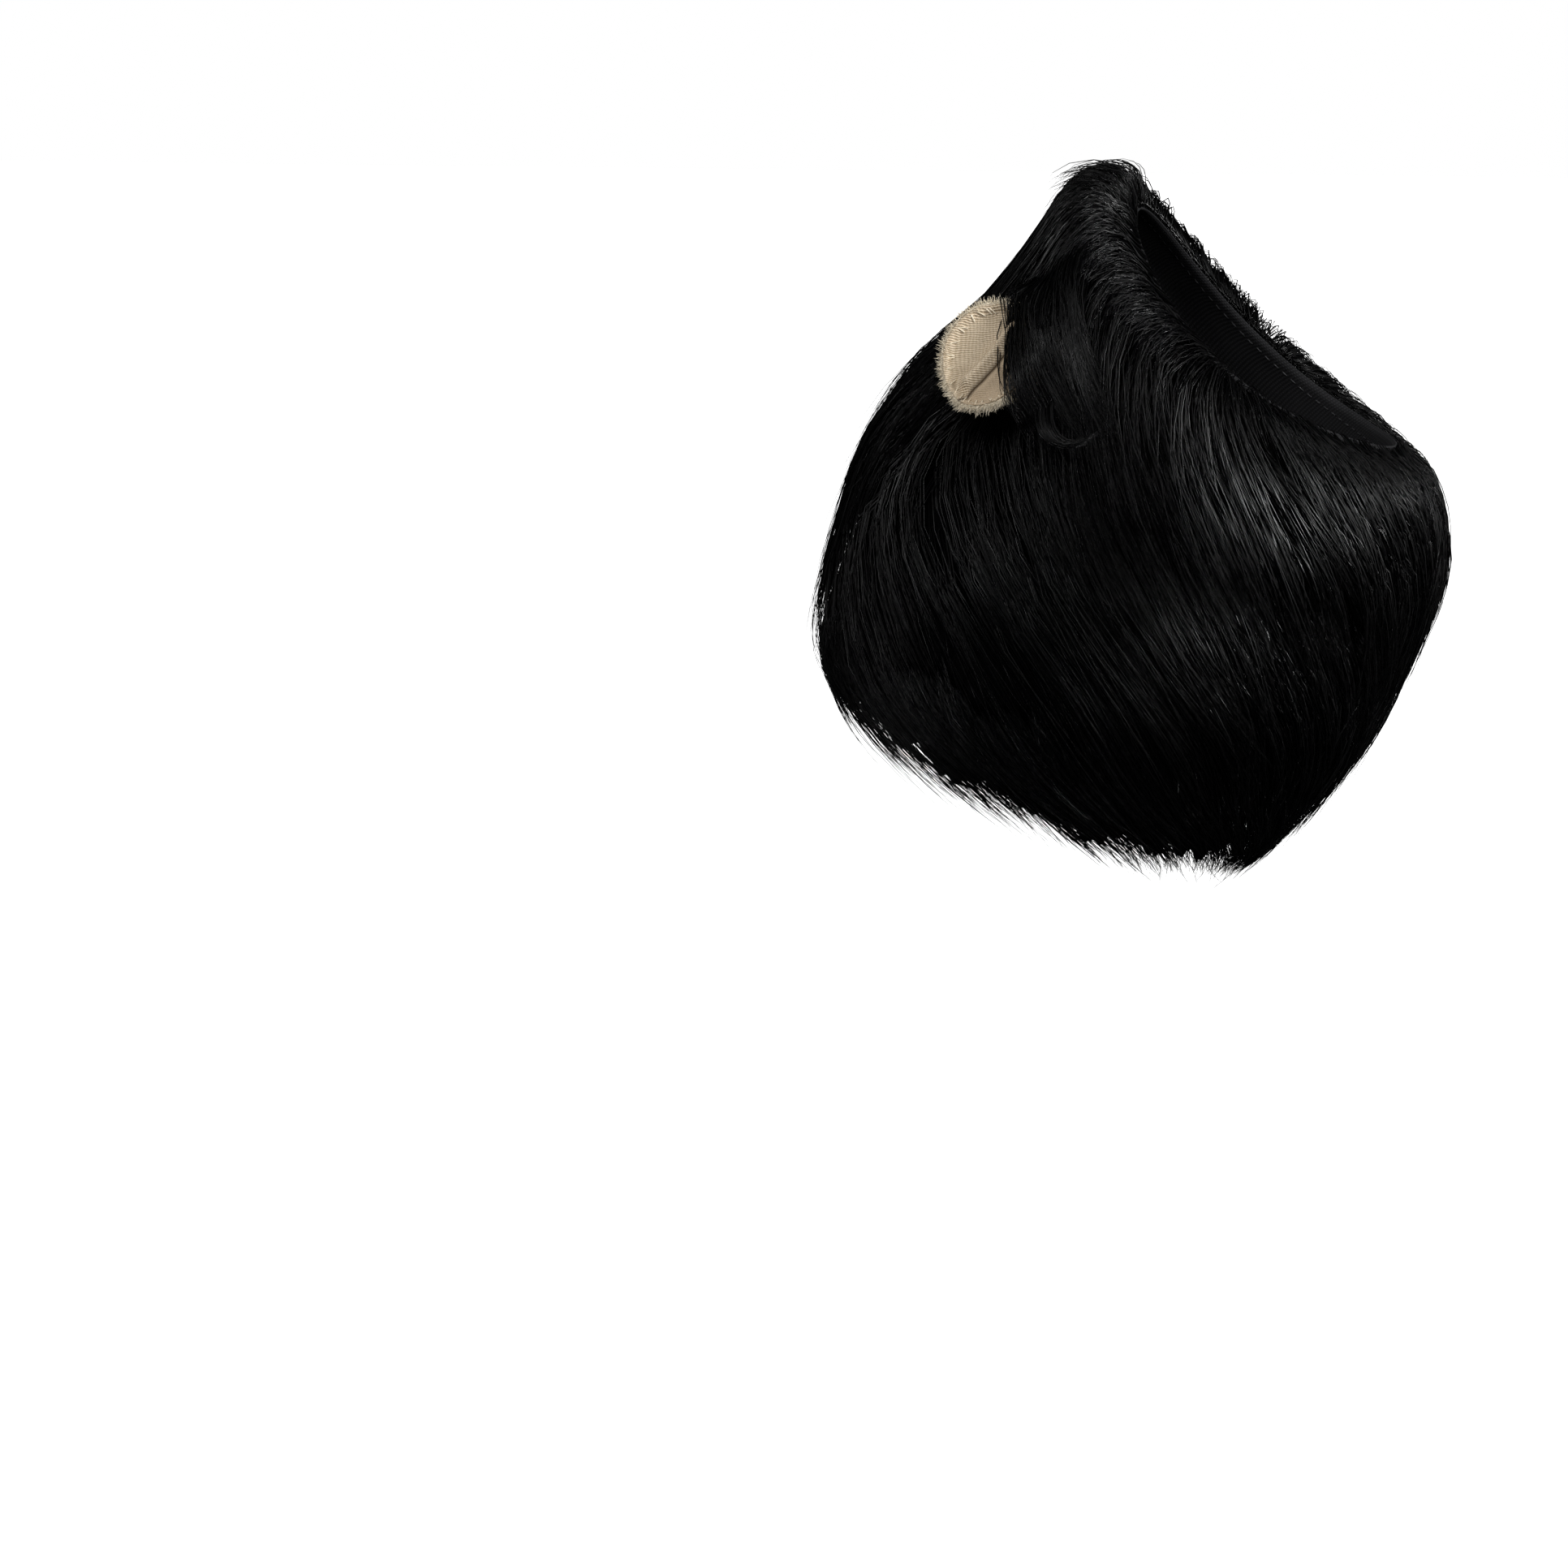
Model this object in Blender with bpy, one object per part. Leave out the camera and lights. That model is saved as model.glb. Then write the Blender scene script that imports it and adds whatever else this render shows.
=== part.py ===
"""Lion mane wig for a large dog: a knitted hood, three tiers of long black fur and two round ears.

Metres, +Z up. The wearer faces -Y and looks up a little, and the wearer's right side is at -X.
The origin is the inside of the hood's crown, where it sits on the top of the head.
"""
import math
from collections import namedtuple

import bmesh
import bpy
from mathutils import Vector

# Hood: a tube of knitted backing from the face opening to the hem on the shoulders
HOOD_DEPTH = 0.340        # from the hem's back edge to the brow, measured along Y
HOOD_HEIGHT = 0.394       # from the crown down to the hem at the chest
HOOD_WIDTH = 0.230        # across the hem, inside
HOOD_WALL = 0.0024
HEM_ROLL = 0.0012         # extra thickness of the turned hem at both openings
CHEEK_WRAP = 0.024        # how far the face opening cuts back over the cheeks

# Fur: pile that stands off the backing, in three tiers that overlap like roof tiles
PILE_DEPTH = 0.110        # the deepest stand-off, which the shares of the fur table follow
LOCK_LEAN = 0.60          # radians that a lock drifts towards the throat from the face to the hem
LOCK_GROOVE = 0.62        # share of a tier's thickness that the groove between two locks takes
TIER_GAP = 0.0035         # air between one tier and the tier above it
SEAT_GAP = 0.0006         # between pieces that lie on each other
TIP_WALL = 0.004          # thickness of a lock's tip
SIDE_RISE = 0.35          # share by which the locks over the shoulders are shorter
SIDE_RISE_ANGLE = 1.30    # radians from the back line round to the shortest of them
SIDE_RISE_SPREAD = 0.45   # radians over which they lengthen again

# Ears: a plush shell with a rolled rim and a ribbed lining set into it
EAR_LENGTH = 0.066
EAR_WIDTH = 0.079
EAR_WALL = 0.003
EAR_RIM = 0.0045          # height of the plush rim over the shell's face
EAR_RIM_WIDTH = 0.0065
LINING_WALL = 0.0014
EAR_ANGLE = 0.99          # radians from the back line round to the ear's base
EAR_PLACE = 0.310         # station of the ear's base between the face and the hem
EAR_TURN = -0.62          # radians that the ear's tip is turned towards the throat
EAR_STAND_SLOPE = 0.32    # slope at which the ear stands off the fur
EAR_CUP_SLOPE = 0.19      # slope of the broad flap at its edge, behind the fold
EAR_FLAP_SLOPE = 0.22     # slope of the small flap on the face side of the fold
EAR_CREASE = 0.515        # where the fold crosses the ear's axis, as a share of its length
EAR_CREASE_SLOPE = 1.20   # how steeply the fold crosses that axis
EAR_FOLD_START = 0.35     # share of the ear's length over which the fold opens

# How finely the forms are divided
HOOD_COLUMNS = 36
COLUMNS_PER_LOCK = 4
EAR_SPOKES = 24
PROBE = 0.01              # step in radians and stations that measures a slope
GOLDEN_ANGLE = math.pi * (3.0 - math.sqrt(5.0))

# Sections of the hood from the face opening (station 0) to the hem (station 1), and on to the
# ends of the locks. y is a share of HOOD_DEPTH, z of HOOD_HEIGHT and width of HOOD_WIDTH.
HoodSection = namedtuple("HoodSection", "station back_y back_z front_y front_z width")
HOOD_SECTIONS = (
    HoodSection(0.00, -0.047, -0.009, -0.574, -0.403, 0.652),
    HoodSection(0.06, 0.000, 0.000, -0.537, -0.443, 0.687),
    HoodSection(0.14, 0.052, -0.024, -0.493, -0.491, 0.722),
    HoodSection(0.25, 0.114, -0.092, -0.440, -0.551, 0.748),
    HoodSection(0.38, 0.171, -0.188, -0.389, -0.611, 0.765),
    HoodSection(0.52, 0.225, -0.300, -0.342, -0.689, 0.783),
    HoodSection(0.66, 0.280, -0.411, -0.305, -0.776, 0.817),
    HoodSection(0.80, 0.339, -0.522, -0.268, -0.865, 0.878),
    HoodSection(1.00, 0.426, -0.690, -0.203, -0.998, 1.000),
    HoodSection(1.20, 0.477, -0.812, -0.136, -1.096, 1.026),
    HoodSection(1.45, 0.485, -0.929, -0.060, -1.200, 0.974),
)

# How far the fur's outer form stands off the hood at the same stations, in shares of PILE_DEPTH
FurSection = namedtuple("FurSection", "station back_y back_z front_y front_z side")
FUR_SECTIONS = (
    FurSection(0.00, 0.05, 0.12, -0.11, 0.02, 0.10),
    FurSection(0.06, 0.03, 0.25, -0.33, 0.01, 0.33),
    FurSection(0.14, 0.09, 0.27, -0.54, -0.02, 0.52),
    FurSection(0.25, 0.13, 0.18, -0.73, -0.09, 0.68),
    FurSection(0.38, 0.27, 0.12, -0.84, -0.20, 0.79),
    FurSection(0.52, 0.55, 0.13, -0.86, -0.26, 0.85),
    FurSection(0.66, 0.70, 0.05, -0.84, -0.26, 0.91),
    FurSection(0.80, 0.69, -0.05, -0.80, -0.24, 0.88),
    FurSection(1.00, 0.60, -0.15, -0.71, -0.18, 0.69),
    FurSection(1.20, 0.32, -0.10, -0.66, -0.10, 0.53),
    FurSection(1.45, 0.08, -0.05, -0.55, 0.00, 0.35),
)

# Tops of the layers as shares of the way from the hood to the fur's outer form. Past the hem the
# backing's share stands for the air inside the hanging locks. None: the layer isn't there.
LayerRow = namedtuple("LayerRow", "station backing cape ruff crown")
LAYER_ROWS = (
    LayerRow(0.03, 0.00, None, None, 0.90),
    LayerRow(0.07, 0.00, None, None, 1.00),
    LayerRow(0.15, 0.00, None, None, 1.00),
    LayerRow(0.23, 0.00, None, 0.06, 1.00),
    LayerRow(0.30, 0.00, None, 0.32, 1.00),
    LayerRow(0.37, 0.00, None, 0.50, 1.00),
    LayerRow(0.44, 0.00, None, 0.66, 0.98),
    LayerRow(0.52, 0.00, 0.04, 0.84, None),
    LayerRow(0.60, 0.00, 0.18, 1.00, None),
    LayerRow(0.70, 0.00, 0.33, 1.00, None),
    LayerRow(0.80, 0.00, 0.46, 1.00, None),
    LayerRow(0.90, 0.00, 0.58, 0.96, None),
    LayerRow(0.97, 0.00, 0.66, None, None),
    LayerRow(1.09, 0.14, 0.84, None, None),
    LayerRow(1.20, 0.36, 0.98, None, None),
)
LAYERS_FROM_TOP = ("crown", "ruff", "cape", "backing")

# The tiers, with the length of their locks past the last row, in stations
Tier = namedtuple("Tier", "layer locks tip_length")
TIERS = (
    Tier("cape", 20, 0.21),
    Tier("ruff", 20, 0.15),
    Tier("crown", 18, 0.13),
)


def row_before(table, station):
    """Index of the table's row at or before a station."""
    index = 0
    while index < len(table) - 2 and station >= table[index + 1].station:
        index += 1
    return index


def read_section(table, station):
    """The section at a station, smoothly interpolated between the table's rows."""
    index = row_before(table, station)
    before = table[max(index - 1, 0)]
    start = table[index]
    end = table[index + 1]
    after = table[min(index + 2, len(table) - 1)]
    span = end.station - start.station
    share = (station - start.station) / span
    values = []
    for field in start._fields:
        left, low, high, right = (getattr(row, field) for row in (before, start, end, after))
        slope_in = (high - left) / (end.station - before.station) * span
        slope_out = (right - low) / (after.station - start.station) * span
        cubic = slope_in + slope_out - 2.0 * (high - low)
        square = 3.0 * (high - low) - 2.0 * slope_in - slope_out
        values.append(low + share * (slope_in + share * (square + share * cubic)))
    return type(start)(*values)


def layer_top(layer, station):
    """The share of a layer's top at a station, or None where the layer isn't there."""
    index = row_before(LAYER_ROWS, station)
    start = LAYER_ROWS[index]
    end = LAYER_ROWS[index + 1]
    low = getattr(start, layer)
    high = getattr(end, layer)
    if station == start.station or high is None:
        return low
    if low is None:
        return high if station >= end.station else None
    return low + (high - low) * (station - start.station) / (end.station - start.station)


def layer_below(layer, station):
    """The next layer under a layer that is there at a station."""
    index = LAYERS_FROM_TOP.index(layer) + 1
    while layer_top(LAYERS_FROM_TOP[index], station) is None:
        index += 1
    return LAYERS_FROM_TOP[index]


def section_ring(back, front, half_width, wrap, angle):
    """A point of the oval between a back point and a front point, bent back over the cheeks."""
    middle = (back + front) / 2.0
    half_span = (back - front) / 2.0
    side = Vector((1.0, 0.0, 0.0))
    toward_hem = side.cross(half_span).normalized()
    if toward_hem.z > 0.0:
        toward_hem = -toward_hem
    point = middle + half_span * math.cos(angle) + side * (half_width * math.sin(angle))
    return point + toward_hem * (wrap * math.sin(angle) ** 2)


def cheek_wrap(station):
    """The cut of the face opening, which fades out towards the hem."""
    return CHEEK_WRAP * max(0.0, 1.0 - station) ** 1.5


def hood_span(station):
    """Back point, front point and half width of the hood's inside."""
    row = read_section(HOOD_SECTIONS, station)
    back = Vector((0.0, row.back_y * HOOD_DEPTH, row.back_z * HOOD_HEIGHT))
    front = Vector((0.0, row.front_y * HOOD_DEPTH, row.front_z * HOOD_HEIGHT))
    return back, front, row.width * HOOD_WIDTH / 2.0


def hood_inside(angle, station):
    """A point of the hood's inner face. Angle 0 is the back line, pi the throat."""
    back, front, half_width = hood_span(station)
    return section_ring(back, front, half_width, cheek_wrap(station), angle)


def fur_outside(angle, station):
    """A point of the fur's outer form."""
    back, front, half_width = hood_span(station)
    row = read_section(FUR_SECTIONS, station)
    back = back + Vector((0.0, row.back_y, row.back_z)) * PILE_DEPTH
    front = front + Vector((0.0, row.front_y, row.front_z)) * PILE_DEPTH
    half_width = half_width + row.side * PILE_DEPTH
    return section_ring(back, front, half_width, cheek_wrap(station), angle)


def outward(surface, angle, station):
    """The outward normal of a surface given as a function of angle and station."""
    across = surface(angle + PROBE, station) - surface(angle - PROBE, station)
    along = surface(angle, station + PROBE) - surface(angle, station - PROBE)
    normal = across.cross(along).normalized()
    back, front, _ = hood_span(station)
    if normal.dot(surface(angle, station) - (back + front) / 2.0) < 0.0:
        normal = -normal
    return normal


def hood_layer(angle, station, height):
    """A point at a height over the hood's inner face."""
    return hood_inside(angle, station) + outward(hood_inside, angle, station) * height


def fur_layer(angle, station, share):
    """A point between the backing and the fur's outer form."""
    seat = hood_layer(angle, station, HOOD_WALL + SEAT_GAP)
    return seat.lerp(fur_outside(angle, station), share)


def tier_floor(angle, station, layer):
    """The underside of a tier: it lies on the tier below, or on the backing where there is none."""
    below = layer_below(layer, station)
    point = fur_layer(angle, station, layer_top(below, station))
    if below == "backing":
        return point
    return point + outward(fur_outside, angle, station) * TIER_GAP


def finish_object(name, mesh, material):
    """Turns the faces outwards, makes the object and gives it its material."""
    bmesh.ops.triangulate(mesh, faces=mesh.faces[:])
    bmesh.ops.recalc_face_normals(mesh, faces=mesh.faces[:])
    data = bpy.data.meshes.new(name)
    mesh.to_mesh(data)
    mesh.free()
    data.materials.append(material)
    data.shade_smooth()
    data.set_sharp_from_angle(angle=math.radians(50.0))
    made = bpy.data.objects.new(name, data)
    bpy.context.collection.objects.link(made)


def join_loops(mesh, loop, next_loop):
    """A band of faces between two closed loops of as many points."""
    count = len(loop)
    for index in range(count):
        after = (index + 1) % count
        mesh.faces.new((loop[index], loop[after], next_loop[after], next_loop[index]))


def closed_wall(name, inner_rows, outer_rows, material):
    """An object whose wall lies between two stacks of closed rings."""
    mesh = bmesh.new()
    stack = []
    for ring in inner_rows + outer_rows[::-1]:
        stack.append([mesh.verts.new(point) for point in ring])
    for ring, next_ring in zip(stack, stack[1:] + stack[:1]):
        join_loops(mesh, ring, next_ring)
    finish_object(name, mesh, material)


def make_hood(material):
    """The knitted backing, with a turned hem round the face and round the shoulders."""
    angles = [2.0 * math.pi * index / HOOD_COLUMNS for index in range(HOOD_COLUMNS)]
    stations = [0.0] + [row.station for row in LAYER_ROWS if row.station < 1.0] + [1.0]
    inner_rows = []
    outer_rows = []
    for station in stations:
        sink = HEM_ROLL if station in (0.0, 1.0) else 0.0
        inner_rows.append([hood_layer(angle, station, -sink) for angle in angles])
        outer_rows.append([hood_layer(angle, station, HOOD_WALL) for angle in angles])
    closed_wall("hood", inner_rows, outer_rows, material)


def lock_shape(column, around):
    """How far a column is from a groove (0) to a lock's ridge (1), and that lock's own length."""
    lock, place = divmod(column, COLUMNS_PER_LOCK)
    half = COLUMNS_PER_LOCK / 2.0
    ridge = 1.0 - abs(place - half) / half
    length = 0.84 + 0.16 * math.sin(lock * GOLDEN_ANGLE)
    from_back = math.acos(math.cos(around))
    over_shoulder = math.exp(-((from_back - SIDE_RISE_ANGLE) / SIDE_RISE_SPREAD) ** 2)
    return ridge, length * (1.0 - SIDE_RISE * over_shoulder)


def make_tier(tier, material):
    """One tier of fur: a strip at its root edge, parting into pointed locks at its free edge."""
    columns = tier.locks * COLUMNS_PER_LOCK
    stations = [row.station for row in LAYER_ROWS if getattr(row, tier.layer) is not None]
    root = stations[0]
    end = stations[-1]
    inner_rows = [[] for _ in range(len(stations) + 1)]
    outer_rows = [[] for _ in range(len(stations) + 1)]
    for column in range(columns):
        around = 2.0 * math.pi * column / columns
        ridge, length = lock_shape(column, around)
        for row, station in enumerate(stations):
            angle = around + LOCK_LEAN * (station - root) * math.sin(around)
            groove = LOCK_GROOVE * (1.0 - ridge) * (station - root) / (end - root)
            low = tier_floor(angle, station, tier.layer)
            high = fur_layer(angle, station, layer_top(tier.layer, station))
            inner_rows[row].append(low)
            outer_rows[row].append(high.lerp(low, groove))
        tip = end + tier.tip_length * length * ridge ** 0.8
        angle = around + LOCK_LEAN * (tip - root) * math.sin(around)
        low = tier_floor(angle, tip, tier.layer)
        high = fur_layer(angle, tip, layer_top(tier.layer, end))
        rise = outward(fur_outside, angle, tip)
        middle = max(TIP_WALL, (high - low).dot(rise)) / 2.0
        inner_rows[-1].append(low + rise * (middle - TIP_WALL / 2.0))
        outer_rows[-1].append(low + rise * (middle + TIP_WALL / 2.0))
    closed_wall(f"{tier.layer}_fur", inner_rows, outer_rows, material)


def ear_outline(spoke):
    """The ear's outline from its middle: a long oval, a little broader towards its tip."""
    turn = 2.0 * math.pi * spoke / EAR_SPOKES
    along = math.cos(turn)
    across = math.sin(turn) * (1.0 + 0.12 * along)
    return across * EAR_WIDTH / 2.0, along * EAR_LENGTH / 2.0


def ear_fold(across, along):
    """Rise of the folded ear over its flat pattern: two flaps that meet in the fold."""
    opened = min(1.0, max(0.0, along / EAR_LENGTH) / EAR_FOLD_START)
    from_fold = across - EAR_CREASE_SLOPE * (along - EAR_CREASE * EAR_LENGTH)
    if from_fold > 0.0:
        return EAR_FLAP_SLOPE * from_fold * opened
    return EAR_CUP_SLOPE * from_fold ** 2 / (EAR_WIDTH / 2.0) * opened


def ear_point(across, along, height, side):
    """A point of the ear, laid from its flat pattern onto the fur, on the side -1 or 1."""
    turned_across = across * math.cos(EAR_TURN) + along * math.sin(EAR_TURN)
    turned_along = along * math.cos(EAR_TURN) - across * math.sin(EAR_TURN)
    base = fur_outside(EAR_ANGLE, EAR_PLACE)
    per_radian = (fur_outside(EAR_ANGLE + PROBE, EAR_PLACE) - base).length / PROBE
    per_station = (fur_outside(EAR_ANGLE, EAR_PLACE + PROBE) - base).length / PROBE
    angle = EAR_ANGLE + turned_across / per_radian
    station = EAR_PLACE + turned_along / per_station
    lift = SEAT_GAP + EAR_STAND_SLOPE * along + ear_fold(across, along) + height
    point = fur_outside(angle, station) + outward(fur_outside, EAR_ANGLE, EAR_PLACE) * lift
    return Vector((point.x * side, point.y, point.z))


# A ring of an ear's piece: its share of the outline, and the heights of its two faces
EarRing = namedtuple("EarRing", "share under over")


def ear_piece(name, rings, side, material):
    """A closed plate over the ear's pattern, from its middle out through the rings."""
    mesh = bmesh.new()
    centre = EAR_LENGTH / 2.0
    edges = []
    for face in ("under", "over"):
        middle = mesh.verts.new(ear_point(0.0, centre, getattr(rings[0], face), side))
        loops = []
        for ring in rings[1:]:
            outline = [ear_outline(spoke) for spoke in range(EAR_SPOKES)]
            height = getattr(ring, face)
            loops.append([
                mesh.verts.new(ear_point(across * ring.share, centre + along * ring.share, height, side))
                for across, along in outline
            ])
        for index in range(EAR_SPOKES):
            mesh.faces.new((middle, loops[0][index], loops[0][(index + 1) % EAR_SPOKES]))
        for loop, wider in zip(loops, loops[1:]):
            join_loops(mesh, loop, wider)
        edges.append(loops[-1])
    join_loops(mesh, *edges)
    finish_object(name, mesh, material)


def make_ear(side_name, side, plush, ribbed):
    """The plush shell with its rolled rim, and the ribbed lining inside the rim."""
    inset = 1.0 - 2.0 * EAR_RIM_WIDTH / EAR_WIDTH
    ear_piece(f"{side_name}_ear_shell", (
        EarRing(0.0, 0.0, EAR_WALL),
        EarRing(0.5, 0.0, EAR_WALL),
        EarRing(inset, 0.0, EAR_WALL),
        EarRing((1.0 + inset) / 2.0, 0.0, EAR_WALL + EAR_RIM),
        EarRing(1.0, EAR_WALL / 2.0, EAR_WALL + EAR_RIM / 2.0),
    ), side, plush)
    seat = EAR_WALL + SEAT_GAP
    top = seat + LINING_WALL
    ear_piece(f"{side_name}_ear_lining", (
        EarRing(0.0, seat, top),
        EarRing(0.5, seat, top),
        EarRing(inset - 2.0 * SEAT_GAP / EAR_WIDTH, seat, top),
    ), side, ribbed)


def make_material(name, colour, roughness):
    """A Principled material of one plain colour."""
    material = bpy.data.materials.new(name)
    material.use_nodes = True
    shader = material.node_tree.nodes["Principled BSDF"]
    shader.inputs["Base Color"].default_value = (*colour, 1.0)
    shader.inputs["Roughness"].default_value = roughness
    shader.inputs["Metallic"].default_value = 0.0
    return material


def main():
    for thing in list(bpy.data.objects):
        bpy.data.objects.remove(thing, do_unlink=True)
    knit = make_material("black_knit_backing", (0.012, 0.012, 0.013), 0.85)
    fur = make_material("black_long_pile_fur", (0.008, 0.008, 0.009), 0.55)
    plush = make_material("cream_plush", (0.56, 0.44, 0.31), 0.9)
    ribbed = make_material("beige_ribbed_cloth", (0.40, 0.31, 0.22), 0.8)
    make_hood(knit)
    for tier in TIERS:
        make_tier(tier, fur)
    make_ear("right", -1.0, plush, ribbed)
    make_ear("left", 1.0, plush, ribbed)


main()
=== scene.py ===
"""Lion mane wig for a large dog: the looks of its knitted hood, its long black fur and its two ears.

Metres, +Z up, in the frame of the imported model. The wearer faces -Y and its right side is at -X.
"""
import math
from collections import namedtuple

import bmesh
import bpy
import numpy as np
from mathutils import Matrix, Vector


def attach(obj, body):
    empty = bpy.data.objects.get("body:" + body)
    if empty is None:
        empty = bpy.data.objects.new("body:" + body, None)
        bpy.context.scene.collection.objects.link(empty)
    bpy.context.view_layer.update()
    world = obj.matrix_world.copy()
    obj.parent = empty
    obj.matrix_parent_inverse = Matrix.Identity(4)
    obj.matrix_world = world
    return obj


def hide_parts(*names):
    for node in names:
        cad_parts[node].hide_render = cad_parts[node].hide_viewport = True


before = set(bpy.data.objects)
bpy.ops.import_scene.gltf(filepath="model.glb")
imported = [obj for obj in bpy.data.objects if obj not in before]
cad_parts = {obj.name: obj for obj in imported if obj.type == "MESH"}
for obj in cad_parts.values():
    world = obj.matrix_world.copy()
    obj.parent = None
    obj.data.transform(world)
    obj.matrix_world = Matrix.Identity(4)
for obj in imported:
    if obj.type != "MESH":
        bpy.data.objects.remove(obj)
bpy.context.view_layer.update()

bl_info = {
    "name": "Lion mane wig",
    "version": (1, 0, 0),
    "blender": (4, 5, 0),
    "location": "3D View > Sidebar > Mane",
    "description": "Builds the hood, the fur and the ears of a lion mane wig for a large dog",
    "category": "Object",
}

FULL_TURN = 2.0 * math.pi
GOLDEN_ANGLE = math.pi * (3.0 - math.sqrt(5.0))

# The driving sizes of the solids, which the looks follow
HOOD_DEPTH = 0.340
HOOD_HEIGHT = 0.394
HOOD_WIDTH = 0.230
HOOD_WALL = 0.0024
CHEEK_WRAP = 0.024
PILE_DEPTH = 0.110
EAR_LENGTH = 0.066
EAR_WIDTH = 0.079
EAR_WALL = 0.003
EAR_RIM = 0.0045
EAR_RIM_WIDTH = 0.0065
EAR_ANGLE = 0.99
EAR_PLACE = 0.310
EAR_TURN = -0.62
EAR_STAND_SLOPE = 0.32
EAR_CUP_SLOPE = 0.19
EAR_FLAP_SLOPE = 0.22
EAR_CREASE = 0.515
EAR_CREASE_SLOPE = 1.20
EAR_FOLD_START = 0.35
SIDE_RISE = 0.35
SIDE_RISE_ANGLE = 1.30
SIDE_RISE_SPREAD = 0.45

# Sections of the hood and of the fur's outer form, in shares of the sizes above
HoodSection = namedtuple("HoodSection", "station back_y back_z front_y front_z width")
HOOD_SECTIONS = (
    HoodSection(0.00, -0.047, -0.009, -0.574, -0.403, 0.652),
    HoodSection(0.06, 0.000, 0.000, -0.537, -0.443, 0.687),
    HoodSection(0.14, 0.052, -0.024, -0.493, -0.491, 0.722),
    HoodSection(0.25, 0.114, -0.092, -0.440, -0.551, 0.748),
    HoodSection(0.38, 0.171, -0.188, -0.389, -0.611, 0.765),
    HoodSection(0.52, 0.225, -0.300, -0.342, -0.689, 0.783),
    HoodSection(0.66, 0.280, -0.411, -0.305, -0.776, 0.817),
    HoodSection(0.80, 0.339, -0.522, -0.268, -0.865, 0.878),
    HoodSection(1.00, 0.426, -0.690, -0.203, -0.998, 1.000),
    HoodSection(1.20, 0.477, -0.812, -0.136, -1.096, 1.026),
    HoodSection(1.45, 0.485, -0.929, -0.060, -1.200, 0.974),
)
FurSection = namedtuple("FurSection", "station back_y back_z front_y front_z side")
FUR_SECTIONS = (
    FurSection(0.00, 0.05, 0.12, -0.11, 0.02, 0.10),
    FurSection(0.06, 0.03, 0.25, -0.33, 0.01, 0.33),
    FurSection(0.14, 0.09, 0.27, -0.54, -0.02, 0.52),
    FurSection(0.25, 0.13, 0.18, -0.73, -0.09, 0.68),
    FurSection(0.38, 0.27, 0.12, -0.84, -0.20, 0.79),
    FurSection(0.52, 0.55, 0.13, -0.86, -0.26, 0.85),
    FurSection(0.66, 0.70, 0.05, -0.84, -0.26, 0.91),
    FurSection(0.80, 0.69, -0.05, -0.80, -0.24, 0.88),
    FurSection(1.00, 0.60, -0.15, -0.71, -0.18, 0.69),
    FurSection(1.20, 0.32, -0.10, -0.66, -0.10, 0.53),
    FurSection(1.45, 0.08, -0.05, -0.55, 0.00, 0.35),
)

# Each tier of fur: the stations of its root edge and free edge, how far its locks hang past it,
# and the shares of the way from the hood to the outer form where its underside and top run.
Tier = namedtuple("Tier", "name node root free tip locks stations under top")
TIERS = (
    Tier("cape", "cape_fur", 0.52, 1.18, 0.22, 20,
         (0.52, 0.60, 0.80, 0.97, 1.09, 1.20, 1.45),
         (0.00, 0.00, 0.00, 0.02, 0.20, 0.40, 0.60),
         (0.05, 0.22, 0.64, 0.82, 0.90, 0.95, 0.95)),
    Tier("ruff", "ruff_fur", 0.23, 0.90, 0.16, 20,
         (0.23, 0.30, 0.37, 0.44, 0.52, 0.60, 0.90, 1.10),
         (0.00, 0.00, 0.00, 0.00, 0.10, 0.28, 0.78, 0.90),
         (0.07, 0.36, 0.66, 0.84, 0.93, 0.97, 0.98, 0.98)),
    Tier("crown", "crown_fur", 0.02, 0.44, 0.14, 18,
         (0.02, 0.07, 0.15, 0.23, 0.30, 0.37, 0.44, 0.60),
         (0.00, 0.00, 0.00, 0.12, 0.42, 0.72, 0.84, 0.92),
         (0.80, 0.93, 0.97, 0.98, 0.99, 0.99, 1.00, 1.02)),
)

# How far in front of the shell's fold the lining's crease runs
CREASE_SHIFT = 0.0035

# The camera, from the place of the mane in the photograph's frame of 1932 by 1932 pixels
PHOTO_SIDE = 1932
MANE_PIXEL = (1374.0, 642.0)
MANE_CENTRE = Vector((0.0, 0.0, -0.22))
CAMERA_AZIMUTH = -75.0
CAMERA_ELEVATION = 7.0
CAMERA_DISTANCE = 2.6
CAMERA_LENS = 85.0
SENSOR_WIDTH = 36.0
FLOOR_HEIGHT = -0.90

FINE_STATIONS = np.linspace(-0.06, 1.56, 325)


# Forms

def dense_columns(sections):
    """Each column of a table of sections, smoothly interpolated at the fine stations."""
    stations = np.array([row.station for row in sections])
    columns = {}
    for field in sections[0]._fields[1:]:
        values = np.array([getattr(row, field) for row in sections])
        slopes = np.gradient(values, stations)
        index = np.clip(np.searchsorted(stations, FINE_STATIONS, "right") - 1, 0, len(stations) - 2)
        span = stations[index + 1] - stations[index]
        share = (FINE_STATIONS - stations[index]) / span
        share = np.clip(share, -1.0, 1.6)
        square = share * share
        cube = square * share
        columns[field] = (
            (2.0 * cube - 3.0 * square + 1.0) * values[index]
            + (cube - 2.0 * square + share) * slopes[index] * span
            + (3.0 * square - 2.0 * cube) * values[index + 1]
            + (cube - square) * slopes[index + 1] * span
        )
    return columns


HOOD_COLUMNS = dense_columns(HOOD_SECTIONS)
FUR_COLUMNS = dense_columns(FUR_SECTIONS)


def column(columns, field, station):
    """A column's value at many stations."""
    return np.interp(station, FINE_STATIONS, columns[field])


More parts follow.
